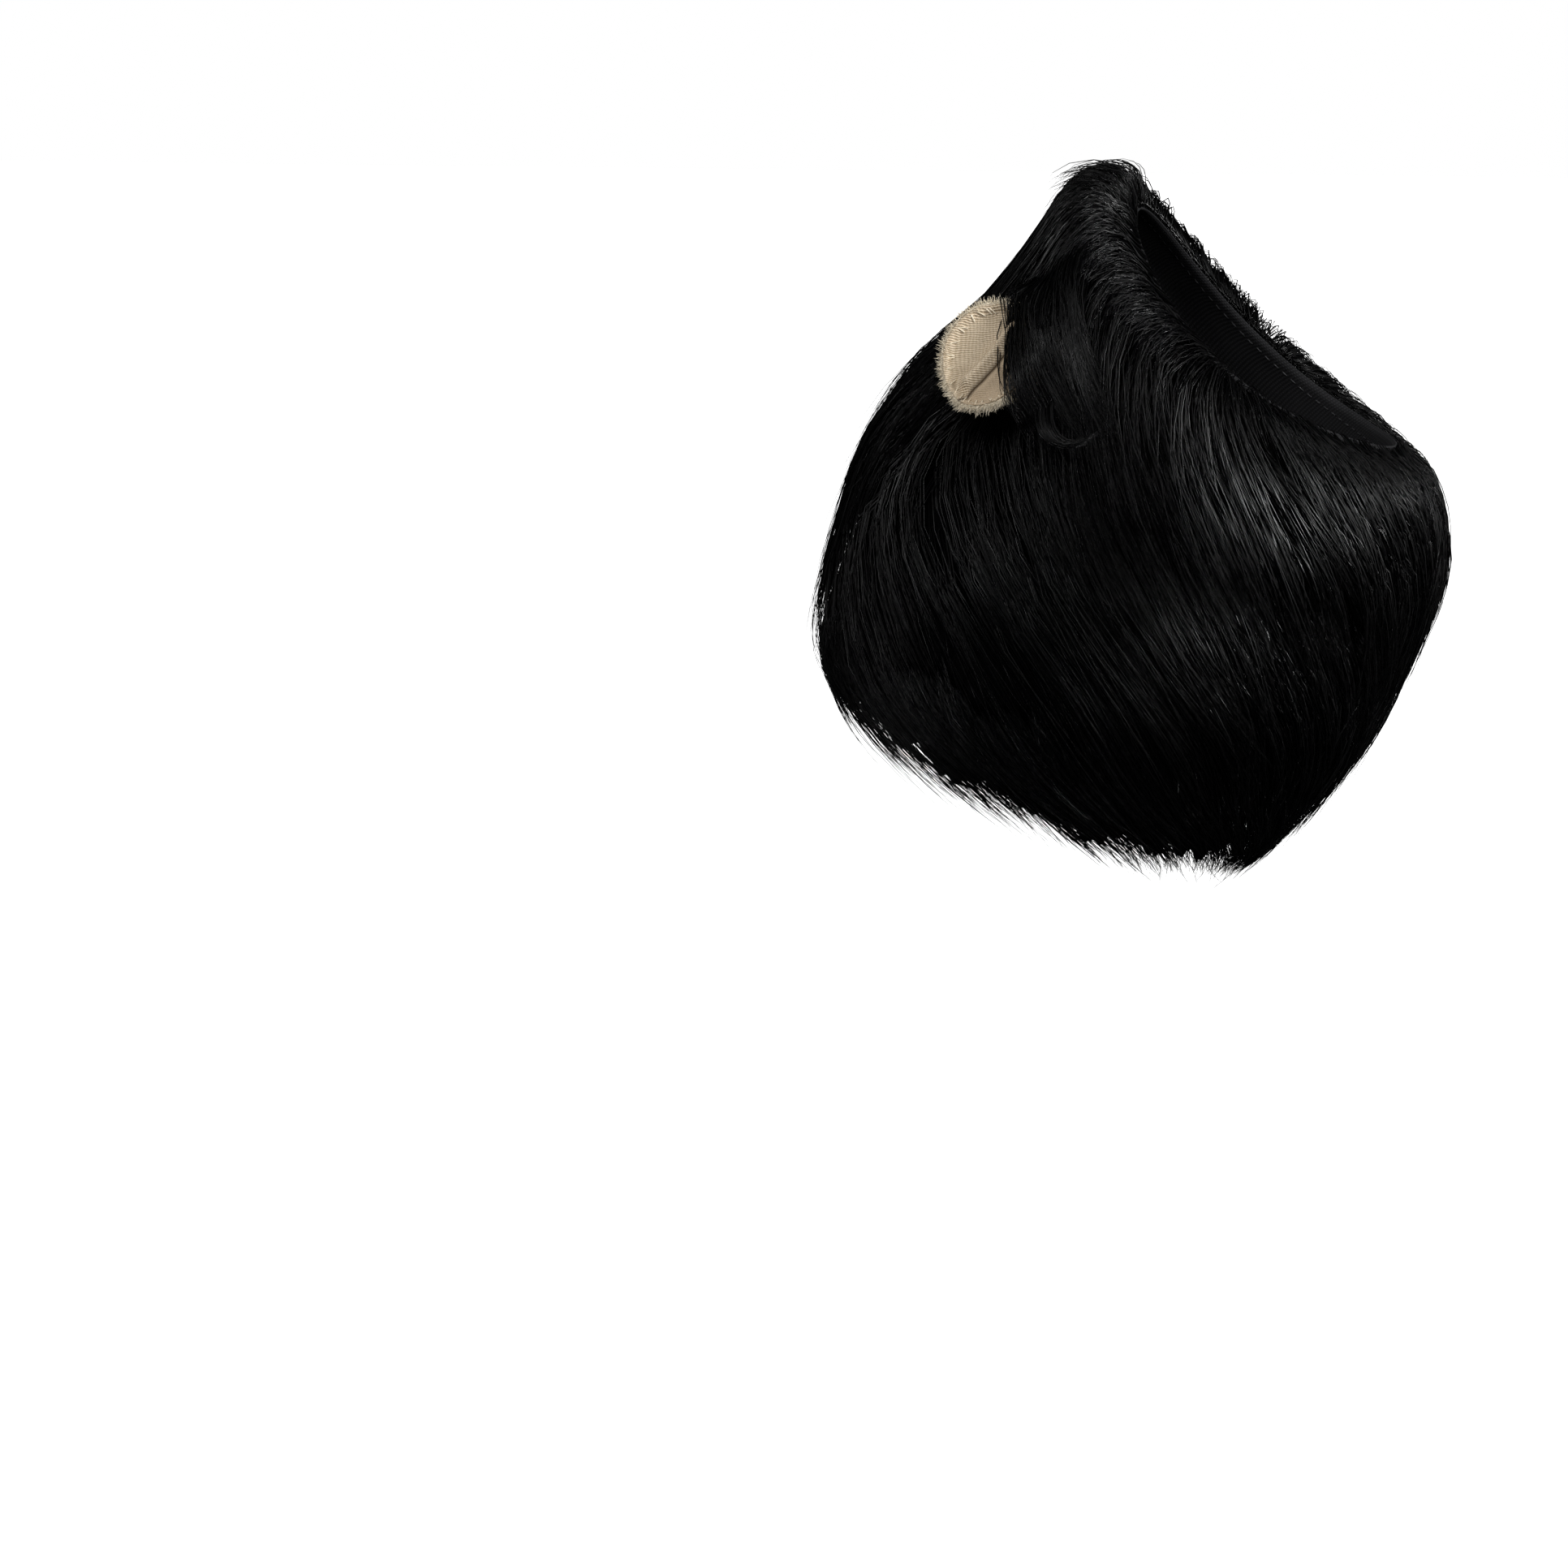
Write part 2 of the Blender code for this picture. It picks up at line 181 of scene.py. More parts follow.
def oval(back_y, back_z, front_y, front_z, half_width, angle, station):
    """Points of the ovals between back and front points, bent back over the cheeks."""
    half_y = (back_y - front_y) / 2.0
    half_z = (back_z - front_z) / 2.0
    length = np.hypot(half_y, half_z)
    wrap = CHEEK_WRAP * np.clip(1.0 - station, 0.0, None) ** 1.5 * np.sin(angle) ** 2
    across = half_width * np.sin(angle)
    depth = (back_y + front_y) / 2.0 + half_y * np.cos(angle) + wrap * half_z / length
    height = (back_z + front_z) / 2.0 + half_z * np.cos(angle) - wrap * half_y / length
    return np.stack([across, depth, height], axis=-1)


def hood_inside(angle, station):
    """Points of the hood's inner face. Angle 0 is the back line, pi the throat."""
    return oval(
        column(HOOD_COLUMNS, "back_y", station) * HOOD_DEPTH,
        column(HOOD_COLUMNS, "back_z", station) * HOOD_HEIGHT,
        column(HOOD_COLUMNS, "front_y", station) * HOOD_DEPTH,
        column(HOOD_COLUMNS, "front_z", station) * HOOD_HEIGHT,
        column(HOOD_COLUMNS, "width", station) * HOOD_WIDTH / 2.0,
        angle, station,
    )


def fur_outside(angle, station):
    """Points of the fur's outer form."""
    hood = {field: column(HOOD_COLUMNS, field, station) for field in HOOD_COLUMNS}
    fur = {field: column(FUR_COLUMNS, field, station) * PILE_DEPTH for field in FUR_COLUMNS}
    return oval(
        hood["back_y"] * HOOD_DEPTH + fur["back_y"],
        hood["back_z"] * HOOD_HEIGHT + fur["back_z"],
        hood["front_y"] * HOOD_DEPTH + fur["front_y"],
        hood["front_z"] * HOOD_HEIGHT + fur["front_z"],
        hood["width"] * HOOD_WIDTH / 2.0 + fur["side"],
        angle, station,
    )


def unit(vectors):
    """Vectors at length one."""
    return vectors / np.maximum(np.linalg.norm(vectors, axis=-1, keepdims=True), 1e-9)


def outward(surface, angle, station):
    """Outward normals of a surface given as a function of angle and station."""
    step = 0.01
    across = surface(angle + step, station) - surface(angle - step, station)
    along = surface(angle, station + step) - surface(angle, station - step)
    return unit(np.cross(across, along))


def hood_layer(angle, station, height):
    """Points at a height over the hood's inner face."""
    return hood_inside(angle, station) + outward(hood_inside, angle, station) * np.asarray(height)[..., None]


def fur_layer(angle, station, share):
    """Points between the backing and the fur's outer form."""
    seat = hood_layer(angle, station, np.full(np.shape(angle), HOOD_WALL + 0.0006))
    outside = fur_outside(angle, station)
    return seat + (outside - seat) * np.asarray(share)[..., None]


def smooth(low, high, value):
    """A smooth step from 0 at low to 1 at high."""
    share = np.clip((value - low) / (high - low), 0.0, 1.0)
    return share * share * (3.0 - 2.0 * share)


LOCK_LEAN = 0.60

# The fall of the hair: radians towards the throat for each station down. It is a pull by station,
# one over the sides and one near the throat, times a share by the angle from the back line.
PULL_STATIONS = (0.0, 0.12, 0.25, 0.40, 0.60, 0.80, 1.45)
SIDE_PULL = (-0.8, -0.8, 1.0, 2.3, 2.9, 2.7, 2.5)
THROAT_PULL = (2.6, 3.0, 2.8, 2.6, 2.6, 2.6, 2.4)
SHARE_ANGLES = (0.0, 0.5, 0.75, 1.0, 1.2, 1.6, 2.0, 2.4, 2.8, math.pi)
PULL_SHARES = (0.0, -0.05, 0.0, 0.75, 1.0, 0.95, 0.75, 0.60, 0.38, 0.0)


def lock_angle(line, station, root):
    """The angle of a lock's line at a station: locks lean a little towards the throat."""
    return line + LOCK_LEAN * (station - root) * np.sin(line)


def fall(angle, station):
    """How fast the hair turns towards the throat at an angle and a station."""
    turned = angle - np.round(angle / FULL_TURN) * FULL_TURN
    from_back = np.abs(turned)
    lower = from_back + 0.5 * smooth(0.60, 1.05, station) * (1.0 - from_back / math.pi)
    share = np.interp(lower, SHARE_ANGLES, PULL_SHARES)
    side = np.interp(station, PULL_STATIONS, SIDE_PULL)
    throat = np.interp(station, PULL_STATIONS, THROAT_PULL)
    near_throat = smooth(1.4, 2.2, from_back)
    pull = side + (throat - side) * near_throat
    return share * pull * np.sign(turned) * smooth(0.0, 0.25, math.pi - from_back)


def fallen(angle, root, reach, along):
    """Angles along hairs that start at an angle and a root station and reach down so far."""
    substeps = 4
    turned = np.array(angle, dtype=float)
    station = np.array(root, dtype=float)
    angles = [turned.copy()]
    for start, end in zip(along[:-1], along[1:]):
        step = reach * (end - start) / substeps
        for _ in range(substeps):
            turned = turned + fall(turned, station) * step
            station = station + step
        angles.append(turned.copy())
    return np.stack(angles, axis=-1)


# Meshes

def clear_selection():
    """Nothing stays selected or active."""
    for thing in bpy.context.selected_objects:
        thing.select_set(False)
    bpy.context.view_layer.objects.active = None


def mesh_from_arrays(name, points, quads, triangles, uv_of_point, material):
    """An object from arrays of points, quads and triangles, with one UV for each point."""
    data = bpy.data.meshes.new(name)
    corners = np.concatenate([quads.reshape(-1), triangles.reshape(-1)]).astype(np.int32)
    starts = np.concatenate([
        np.arange(len(quads)) * 4,
        len(quads) * 4 + np.arange(len(triangles)) * 3,
    ]).astype(np.int32)
    data.vertices.add(len(points))
    data.vertices.foreach_set("co", points.astype(np.float32).reshape(-1))
    data.loops.add(len(corners))
    data.loops.foreach_set("vertex_index", corners)
    data.polygons.add(len(starts))
    data.polygons.foreach_set("loop_start", starts)
    data.update(calc_edges=True)
    layer = data.uv_layers.new(name="UVMap")
    layer.data.foreach_set("uv", uv_of_point[corners].astype(np.float32).reshape(-1))
    data.materials.append(material)
    data.shade_smooth()
    made = bpy.data.objects.new(name, data)
    bpy.context.collection.objects.link(made)
    return made


def grid_quads(rows, columns, closed_rows):
    """Quads of a grid whose columns close round, and whose rows close if asked."""
    index = np.arange(rows * columns).reshape(rows, columns)
    below = np.roll(index, -1, axis=0)
    if not closed_rows:
        index = index[:-1]
        below = below[:-1]
    right = np.roll(index, -1, axis=1)
    below_right = np.roll(below, -1, axis=1)
    return np.stack([index, right, below_right, below], axis=-1).reshape(-1, 4)


def closed_wall(name, rows, uv_rows, material):
    """An object from a stack of closed rings that ends where it began, such as a tube's wall."""
    points = rows.reshape(-1, 3)
    quads = grid_quads(rows.shape[0], rows.shape[1], True)
    no_triangles = np.zeros((0, 3), dtype=int)
    made = mesh_from_arrays(name, points, quads, no_triangles, uv_rows.reshape(-1, 2), material)
    turn_outwards(made)
    return made


def turn_outwards(made):
    """All faces of a closed mesh point out."""
    work = bmesh.new()
    work.from_mesh(made.data)
    bmesh.ops.recalc_face_normals(work, faces=work.faces[:])
    work.to_mesh(made.data)
    work.free()


def strand_piece(name, paths, radii, ups, chance, material):
    """One object of many thin closed strands. paths is strand by point; chance is one number each."""
    count, length, _ = paths.shape
    tangents = unit(np.gradient(paths, axis=1))
    sides = unit(np.cross(tangents, ups))
    tops = np.cross(sides, tangents)
    rings = length - 1
    corners = []
    for corner in range(3):
        turn = corner * FULL_TURN / 3.0
        spoke = sides * math.cos(turn) + tops * math.sin(turn)
        corners.append(paths + spoke * radii[..., None])
    tube = np.stack(corners, axis=2)[:, :rings]
    per_strand = rings * 3 + 1
    points = np.concatenate([tube.reshape(count, rings * 3, 3), paths[:, -1:]], axis=1)
    base = np.arange(count)[:, None, None] * per_strand
    ring = np.arange(rings - 1)[:, None] * 3
    corner = np.arange(3)[None, :]
    after = (corner + 1) % 3
    quad = np.stack([ring + corner, ring + after, ring + 3 + after, ring + 3 + corner], axis=-1)
    quads = (base[..., None] + quad[None]).reshape(-1, 4)
    last = (rings - 1) * 3
    tip = np.array([[last, last + 1, rings * 3], [last + 1, last + 2, rings * 3], [last + 2, last, rings * 3]])
    root = np.array([[0, 2, 1]])
    triangles = (base + np.concatenate([tip, root])[None]).reshape(-1, 3)
    along = np.concatenate([np.repeat(np.arange(rings) / (length - 1), 3), [1.0]])
    uv = np.stack([
        np.repeat(chance, per_strand),
        np.tile(along, count),
    ], axis=-1)
    made = mesh_from_arrays(name, points.reshape(-1, 3), quads, triangles, uv, material)
    return made


def finish_piece(piece, slot, *nodes):
    """The piece rides with the mane and stands for the solids named; slot is not used."""
    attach(piece, "root")
    if nodes:
        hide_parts(*nodes)


# Materials

class Value:
    """A shader socket that can be added, multiplied and so on in plain expressions."""

    def __init__(self, tree, socket):
        self.tree = tree
        self.socket = socket

    def math(self, operation, other, swapped=False):
        pair = (other, self) if swapped else (self, other)
        return self.tree.node("ShaderNodeMath", {"operation": operation}, {0: pair[0], 1: pair[1]})

    def __add__(self, other):
        return self.math("ADD", other)

    __radd__ = __add__

    def __sub__(self, other):
        return self.math("SUBTRACT", other)

    def __rsub__(self, other):
        return self.math("SUBTRACT", other, True)

    def __mul__(self, other):
        return self.math("MULTIPLY", other)

    __rmul__ = __mul__

    def __truediv__(self, other):
        return self.math("DIVIDE", other)

    def __pow__(self, other):
        return self.math("POWER", other)

    def sine(self):
        return self.tree.node("ShaderNodeMath", {"operation": "SINE"}, {0: self})

    def limit(self, low, high):
        return self.tree.node(
            "ShaderNodeMapRange",
            {"clamp": True},
            {"Value": self, "From Min": low, "From Max": high, "To Min": 0.0, "To Max": 1.0},
        )


class Tree:
    """A material's node tree, with one method that adds any node."""

    def __init__(self, name):
        self.material = bpy.data.materials.new(name)
        self.material.use_nodes = True
        self.nodes = self.material.node_tree.nodes
        self.links = self.material.node_tree.links
        self.shader = self.nodes["Principled BSDF"]

    def put(self, socket, value):
        if isinstance(value, Value):
            self.links.new(value.socket, socket)
        elif isinstance(value, (tuple, list)) and len(value) == 3 and socket.type == "RGBA":
            socket.default_value = (*value, 1.0)
        else:
            socket.default_value = value

    def node(self, kind, settings, inputs, output=0):
        made = self.nodes.new(kind)
        for name, value in settings.items():
            setattr(made, name, value)
        for name, value in inputs.items():
            self.put(made.inputs[name], value)
        return Value(self, made.outputs[output])

    def mix(self, share, first, second):
        made = self.nodes.new("ShaderNodeMix")
        made.data_type = "RGBA"
        self.put(made.inputs[0], share)
        self.put(made.inputs[6], first)
        self.put(made.inputs[7], second)
        return Value(self, made.outputs[2])

    def surface(self, **inputs):
        names = {
            "colour": "Base Color", "roughness": "Roughness", "normal": "Normal",
            "specular": "Specular IOR Level", "sheen": "Sheen Weight",
            "sheen_roughness": "Sheen Roughness", "sheen_tint": "Sheen Tint",
        }
        for name, value in inputs.items():
            self.put(self.shader.inputs[names[name]], value)
        return self.material

    def uv(self):
        made = self.nodes.new("ShaderNodeUVMap")
        made.uv_map = "UVMap"
        parts = self.nodes.new("ShaderNodeSeparateXYZ")
        self.links.new(made.outputs[0], parts.inputs[0])
        return Value(self, parts.outputs[0]), Value(self, parts.outputs[1])

    def place(self):
        made = self.nodes.new("ShaderNodeTexCoord")
        return Value(self, made.outputs["Object"])

    def join(self, first, second, third=0.0):
        return self.node("ShaderNodeCombineXYZ", {}, {0: first, 1: second, 2: third})

    def noise(self, vector, scale, detail=2.0, roughness=0.5):
        return self.node(
            "ShaderNodeTexNoise", {},
            {"Vector": vector, "Scale": scale, "Detail": detail, "Roughness": roughness},
        )

    def bump(self, height, strength, distance):
        return self.node("ShaderNodeBump", {}, {"Height": height, "Strength": strength, "Distance": distance})


def strand_material(name, dark, light, tip, roughness, specular):
    """Loose hair: each strand has its own shade, a little lighter towards its tip."""
    tree = Tree(name)
    chance, along = tree.uv()
    shade = tree.mix(chance ** 3.0, dark, light)
    colour = tree.mix((along - 0.55).limit(0.0, 0.45) * 0.5, shade, tip)
    shine = roughness + (chance * 97.0).sine() * 0.17
    return tree.surface(colour=colour, roughness=shine, specular=specular)


def pile_material(settings):
    """The mass of the fur under the loose strands: fine streaks that follow the hair."""
    tree = Tree("black fur pile")
    line, along = tree.uv()
    fine = tree.noise(tree.join(line * 620.0, along * 9.0), 1.0, 3.0, 0.6)
    broad = tree.noise(tree.join(line * 130.0, along * 5.0), 1.0, 2.0, 0.5)
    streak = (fine * 0.65 + broad * 0.35).limit(0.42, 0.66)
    colour = tree.mix(streak, (0.0003, 0.0003, 0.0004), (0.0020, 0.0020, 0.0022))
    roughness = 0.80 - streak * 0.20
    normal = tree.bump(streak, 0.9, 0.0015)
    return tree.surface(colour=colour, roughness=roughness, normal=normal, specular=0.04)


def knit_material(settings):
    """Black jersey: columns of small V stitches that follow the hood."""
    tree = Tree("black knit backing")
    across, along = tree.uv()
    wale = (across * FULL_TURN).sine()
    course = (along * FULL_TURN + wale * 1.4).sine()
    loops = (wale * 0.5 + 0.5) * (course * 0.35 + 0.65)
    fluff = tree.noise(tree.place(), 900.0, 3.0, 0.6)
    cloudy = tree.noise(tree.place(), 22.0, 3.0, 0.55)
    height = loops + fluff * 0.4
    colour = tree.mix(
        (loops * 0.6 + cloudy * 0.6).limit(0.3, 1.0),
        (0.004, 0.004, 0.0045), tuple(settings.knit_colour),
    )
    return tree.surface(
        colour=colour, roughness=0.86 - cloudy * 0.08, specular=0.25,
        normal=tree.bump(height, 0.55, 0.0006),
    )


def thread_material(settings):
    """Twisted sewing thread."""
    tree = Tree("black sewing thread")
    chance, along = tree.uv()
    twist = (along * 60.0 + chance * 11.0).sine()
    colour = tree.mix(twist * 0.5 + 0.5, (0.008, 0.008, 0.009), tuple(settings.thread_colour))
    return tree.surface(colour=colour, roughness=0.5, normal=tree.bump(twist, 0.5, 0.0003))


def plush_material(settings):
    """The felt-like ground of the plush under its fluff."""
    tree = Tree("cream plush ground")
    nap = tree.noise(tree.place(), 620.0, 4.0, 0.65)
    patches = tree.noise(tree.place(), 60.0, 2.0, 0.5)
    shade = (nap * 0.7 + patches * 0.5).limit(0.35, 0.85)
    deep = tuple(value * 0.62 for value in settings.plush_colour)
    colour = tree.mix(shade, deep, tuple(settings.plush_colour))
    return tree.surface(
        colour=colour, roughness=0.92, specular=0.2,
        normal=tree.bump(nap, 0.8, 0.0012),
    )


def ribbed_material(settings):
    """Beige lining: fine ribs across the ear, crossed by the columns of the knit, with painted shade in the fold."""
    tree = Tree("beige ribbed lining")
    across, along = tree.uv()
    wander = tree.noise(tree.place(), 60.0, 2.0, 0.5)
    rib = ((across + wander * 0.0035) * (FULL_TURN / settings.rib_spacing)).sine()
    wale = ((along + wander * 0.0050) * (FULL_TURN / settings.wale_spacing)).sine()
    weave = rib * 0.36 + wale * 0.14 + 0.5
    fluff = tree.noise(tree.place(), 1100.0, 3.0, 0.6)
    worn = tree.noise(tree.place(), 95.0, 3.0, 0.6)
    shade = (weave * 0.90 + fluff * 0.40 + worn * 0.45 - 0.40).limit(0.05, 0.95)
    deep = tuple(value * share for value, share in zip(settings.lining_colour, (0.50, 0.44, 0.36)))
    cloth = tree.mix(shade, deep, tuple(settings.lining_colour))
    slant = math.hypot(1.0, EAR_CREASE_SLOPE)
    from_fold = (across - (along - EAR_CREASE * EAR_LENGTH) * EAR_CREASE_SLOPE) / slant
    # Painted shade: a narrow near-black band along the crease stands for the shadow in the fold
    behind = (from_fold + 0.0022 - CREASE_SHIFT).limit(0.0, 0.0026)
    before = (0.0034 + CREASE_SHIFT - from_fold).limit(0.0, 0.0028)
    crease_shade_mask = behind * before
    crease_shade_colour = tuple(value * share for value, share in zip(settings.lining_colour, (0.060, 0.040, 0.022)))
    flap = (from_fold - CREASE_SHIFT).limit(0.0, 0.0030)
    pinkish = tuple(value * share for value, share in zip(settings.lining_colour, (0.62, 0.56, 0.50)))
    colour = tree.mix(crease_shade_mask * 0.97, tree.mix(flap * 0.8, cloth, pinkish), crease_shade_colour)
    return tree.surface(
        colour=colour, roughness=0.88, specular=0.2,
        normal=tree.bump(weave + fluff * 0.5, 0.8, 0.0009),
    )


def floor_material(settings):
    """Pale matt paper."""
    tree = Tree("pale floor")
    grain = tree.noise(tree.place(), 260.0, 2.0, 0.5)
    tone = tuple(settings.floor_colour)
    darker = tuple(value * 0.985 for value in tone)
    tree.shader.inputs["Emission Color"].default_value = (1.0, 1.0, 1.0, 1.0)
    tree.shader.inputs["Emission Strength"].default_value = settings.floor_glow
    return tree.surface(colour=tree.mix(grain, darker, tone), roughness=0.95, specular=0.1)


# Settings

class ManeHoodSettings(bpy.types.PropertyGroup):
    knit_colour: bpy.props.FloatVectorProperty(
        name="Knit colour", description="Colour of the knitted backing",
        subtype="COLOR", default=(0.020, 0.020, 0.022), min=0.0, max=1.0,
    )
    thread_colour: bpy.props.FloatVectorProperty(
        name="Thread colour", description="Colour of the hem's stitches",
        subtype="COLOR", default=(0.055, 0.055, 0.060), min=0.0, max=1.0,
    )
    wale_spacing: bpy.props.FloatProperty(
        name="Stitch spacing", description="Distance between two columns of the knit",
        default=0.0026, min=0.001, unit="LENGTH",
    )
    hem_width: bpy.props.FloatProperty(
        name="Hem width", description="How far the cloth is turned in at the openings",
        default=0.016, min=0.004, unit="LENGTH",
    )
    hem_roll: bpy.props.FloatProperty(
        name="Hem thickness", description="Extra thickness of the turned hem",
        default=0.0012, min=0.0, unit="LENGTH",
    )


class ManeFurSettings(bpy.types.PropertyGroup):
    strand_colour: bpy.props.FloatVectorProperty(
        name="Strand colour", description="Colour of the lighter strands",
        subtype="COLOR", default=(0.0020, 0.0020, 0.0023), min=0.0, max=1.0,
    )
    strand_width: bpy.props.FloatProperty(
        name="Strand width", description="Thickness of a strand at its root",
        default=0.0011, min=0.0003, unit="LENGTH",
    )
    crown_strands: bpy.props.IntProperty(
        name="Crown strands", description="Strands from the face back over the head",
        default=4700, min=0,
    )
    ruff_strands: bpy.props.IntProperty(
        name="Ruff strands", description="Strands round the cheeks and neck",
        default=5700, min=0,
    )
    cape_strands: bpy.props.IntProperty(
        name="Cape strands", description="Strands over the shoulders and chest",
        default=4700, min=0,
    )
    loose_hairs: bpy.props.IntProperty(
        name="Loose hairs", description="Fine hairs that stand off the fur",
        default=1560, min=0,
    )
    rim_hairs: bpy.props.IntProperty(
        name="Rim hairs", description="Short hairs round the face opening",
        default=2600, min=0,
    )
    ear_hairs: bpy.props.IntProperty(
        name="Hairs over an ear", description="Black hairs that fall over an ear's base",
        default=700, min=0,
    )
    forelock_hairs: bpy.props.IntProperty(
        name="Forelock hairs", description="Hairs of the tuft over the forehead",
        default=240, min=0,
    )


class ManeEarSettings(bpy.types.PropertyGroup):
    plush_colour: bpy.props.FloatVectorProperty(
        name="Plush colour", description="Colour of the ear's back and rim",
        subtype="COLOR", default=(0.90, 0.80, 0.63), min=0.0, max=1.0,
    )
    lining_colour: bpy.props.FloatVectorProperty(
        name="Lining colour", description="Colour of the ribbed cloth in the ear",
        subtype="COLOR", default=(0.80, 0.68, 0.52), min=0.0, max=1.0,
    )
    rib_spacing: bpy.props.FloatProperty(
        name="Rib spacing", description="Distance between two ribs of the lining",
        default=0.0014, min=0.0005, unit="LENGTH",
    )
    wale_spacing: bpy.props.FloatProperty(
        name="Column spacing", description="Distance between two columns of the lining",
        default=0.0021, min=0.0005, unit="LENGTH",
    )
    fluff_length: bpy.props.FloatProperty(
        name="Fluff length", description="Length of the plush's fluff on the rim",
        default=0.0045, min=0.001, unit="LENGTH",
    )
    fluff_hairs: bpy.props.IntProperty(
        name="Fluff hairs", description="Hairs on one ear", default=1600, min=0,
    )


class ManeStageSettings(bpy.types.PropertyGroup):
    floor_colour: bpy.props.FloatVectorProperty(
        name="Floor colour", description="Colour of the floor",
        subtype="COLOR", default=(0.86, 0.86, 0.86), min=0.0, max=1.0,
    )
    floor_glow: bpy.props.FloatProperty(
        name="Floor glow", description="Light of the white paper's own", default=1.0, min=0.0,
    )
    horizon: bpy.props.FloatProperty(
        name="Horizon", description="Brightness of the room near the horizon", default=1.0, min=0.0,
    )
    below: bpy.props.FloatProperty(
        name="Below", description="Brightness of the room under the horizon", default=0.05, min=0.0,
    )
    sky: bpy.props.FloatProperty(
        name="Sky", description="Brightness of the room above", default=0.40, min=0.0,
    )
    key: bpy.props.FloatProperty(
        name="Key light", description="Power of the large light before the face",
        default=86.0, min=0.0, unit="POWER",
    )
    top: bpy.props.FloatProperty(
        name="Top light", description="Power of the light above the head",
        default=17.0, min=0.0, unit="POWER",
    )


# Fur

def tier_value(tier, columns, station):
    """A tier's underside or top at many stations."""
    return np.interp(station, tier.stations, columns)


def lock_ridge(tier, line, station):
    """1 on the ridge of a lock and 0 in the groove beside it; the grooves wander a little."""
    wander = 0.05 * np.sin(3.0 * line + 7.0 * station) + 0.03 * np.sin(8.0 * line - 11.0 * station)
    phase = (line + wander) / FULL_TURN * tier.locks
    broad = 0.5 - 0.5 * np.cos(FULL_TURN * phase)
    small = 0.5 - 0.5 * np.cos(FULL_TURN * (phase * 4.0 + 0.23 * np.sin(5.0 * line + 9.0 * station)))
    return broad ** 0.7 * 0.72 + small * 0.28


def lock_length(tier, line):
    """A lock's own length as a share of the longest: shorter over the shoulders."""
    lock = np.floor(line / FULL_TURN * tier.locks)
    own = 0.82 + 0.18 * np.sin(lock * GOLDEN_ANGLE)
    from_back = np.arccos(np.clip(np.cos(line), -1.0, 1.0))
    over_shoulder = np.exp(-((from_back - SIDE_RISE_ANGLE) / SIDE_RISE_SPREAD) ** 2)
    return own * (1.0 - SIDE_RISE * over_shoulder)


def make_pile(tier, material):
    """The closed mass of a tier, parted into locks, which the loose strands cover."""
    columns = tier.locks * 12
    lines = np.arange(columns) / columns * FULL_TURN
    outer_count = 28
    inner_count = 8
    ridge_end = lock_ridge(tier, lines, tier.free)
    reach = tier.free + tier.tip * 0.50 * lock_length(tier, lines) * ridge_end ** 1.3
    rows = []
    uv_rows = []
    for row in range(outer_count + inner_count):
        outer = row < outer_count
        if outer:
            share = row / (outer_count - 1)
        else:
            share = (inner_count - 1 - (row - outer_count)) / (inner_count - 1) * 0.985
        station = tier.root + (reach - tier.root) * share
        under = tier_value(tier, tier.under, station)
        top = tier_value(tier, tier.top, station) * 0.86 * (0.30 + 0.70 * smooth(0.0, 0.11, station - tier.root))
        top = np.maximum(top, under + 0.05)
        ridge = lock_ridge(tier, lines, station)
        groove = 0.45 * (1.0 - ridge) * smooth(0.03, 0.75, share)
        thin = smooth(0.60, 1.0, share)
        high = top - (top - under) * groove
        middle = under * 0.7 + top * 0.3
        high = high + (middle + 0.02 - high) * thin
        low = under + (middle - 0.02 - under) * thin
        rows.append(fur_layer(lock_angle(lines, station, tier.root), station, high if outer else low))
        uv_rows.append(np.stack([lines / FULL_TURN, station + (0.0 if outer else 2.0)], axis=-1))
    made = closed_wall(f"{tier.name}_pile", np.array(rows), np.array(uv_rows), material)
    finish_piece(made, "black_fur", tier.node)


# How a tier's strands grow: clumps, their spread in radians, the stations of their roots, their
# length in stations, and the seed of their chance
Growth = namedtuple("Growth", "clumps spread first_root last_root shortest longest seed")
GROWTH = {
    "crown": Growth(430, 0.034, 0.000, 0.270, 0.30, 0.56, 11),
    "ruff": Growth(460, 0.032, 0.250, 0.640, 0.28, 0.60, 12),
    "cape": Growth(360, 0.034, 0.620, 1.020, 0.80, 1.00, 13),
}
STRAND_POINTS = 8
STRAND_TRIANGLES = 6 * (STRAND_POINTS - 2) + 4
PIECE_TRIANGLES = 190000


def free_edge(angle):
    """The last station that a hair may reach at an angle, which gives the mane its lower outline."""
    cape = TIERS[0]
    lines = np.linspace(-math.pi, math.pi, 721)
    ends = lock_angle(lines, cape.free + cape.tip, cape.root)
    turned = angle - np.round(angle / FULL_TURN) * FULL_TURN
    line = np.interp(turned, ends, lines)
    return cape.free + cape.tip * 1.10 * lock_length(cape, line % FULL_TURN)


def reach_within(angle, root, reach):
    """Reaches cut back so that no hair passes the mane's lower outline."""
    for _ in range(2):
        ends = fallen(angle, root, reach, (0.0, 0.5, 1.0))[..., -1]
        reach = np.minimum(reach, np.maximum(free_edge(ends) - root, 0.10))
    return reach


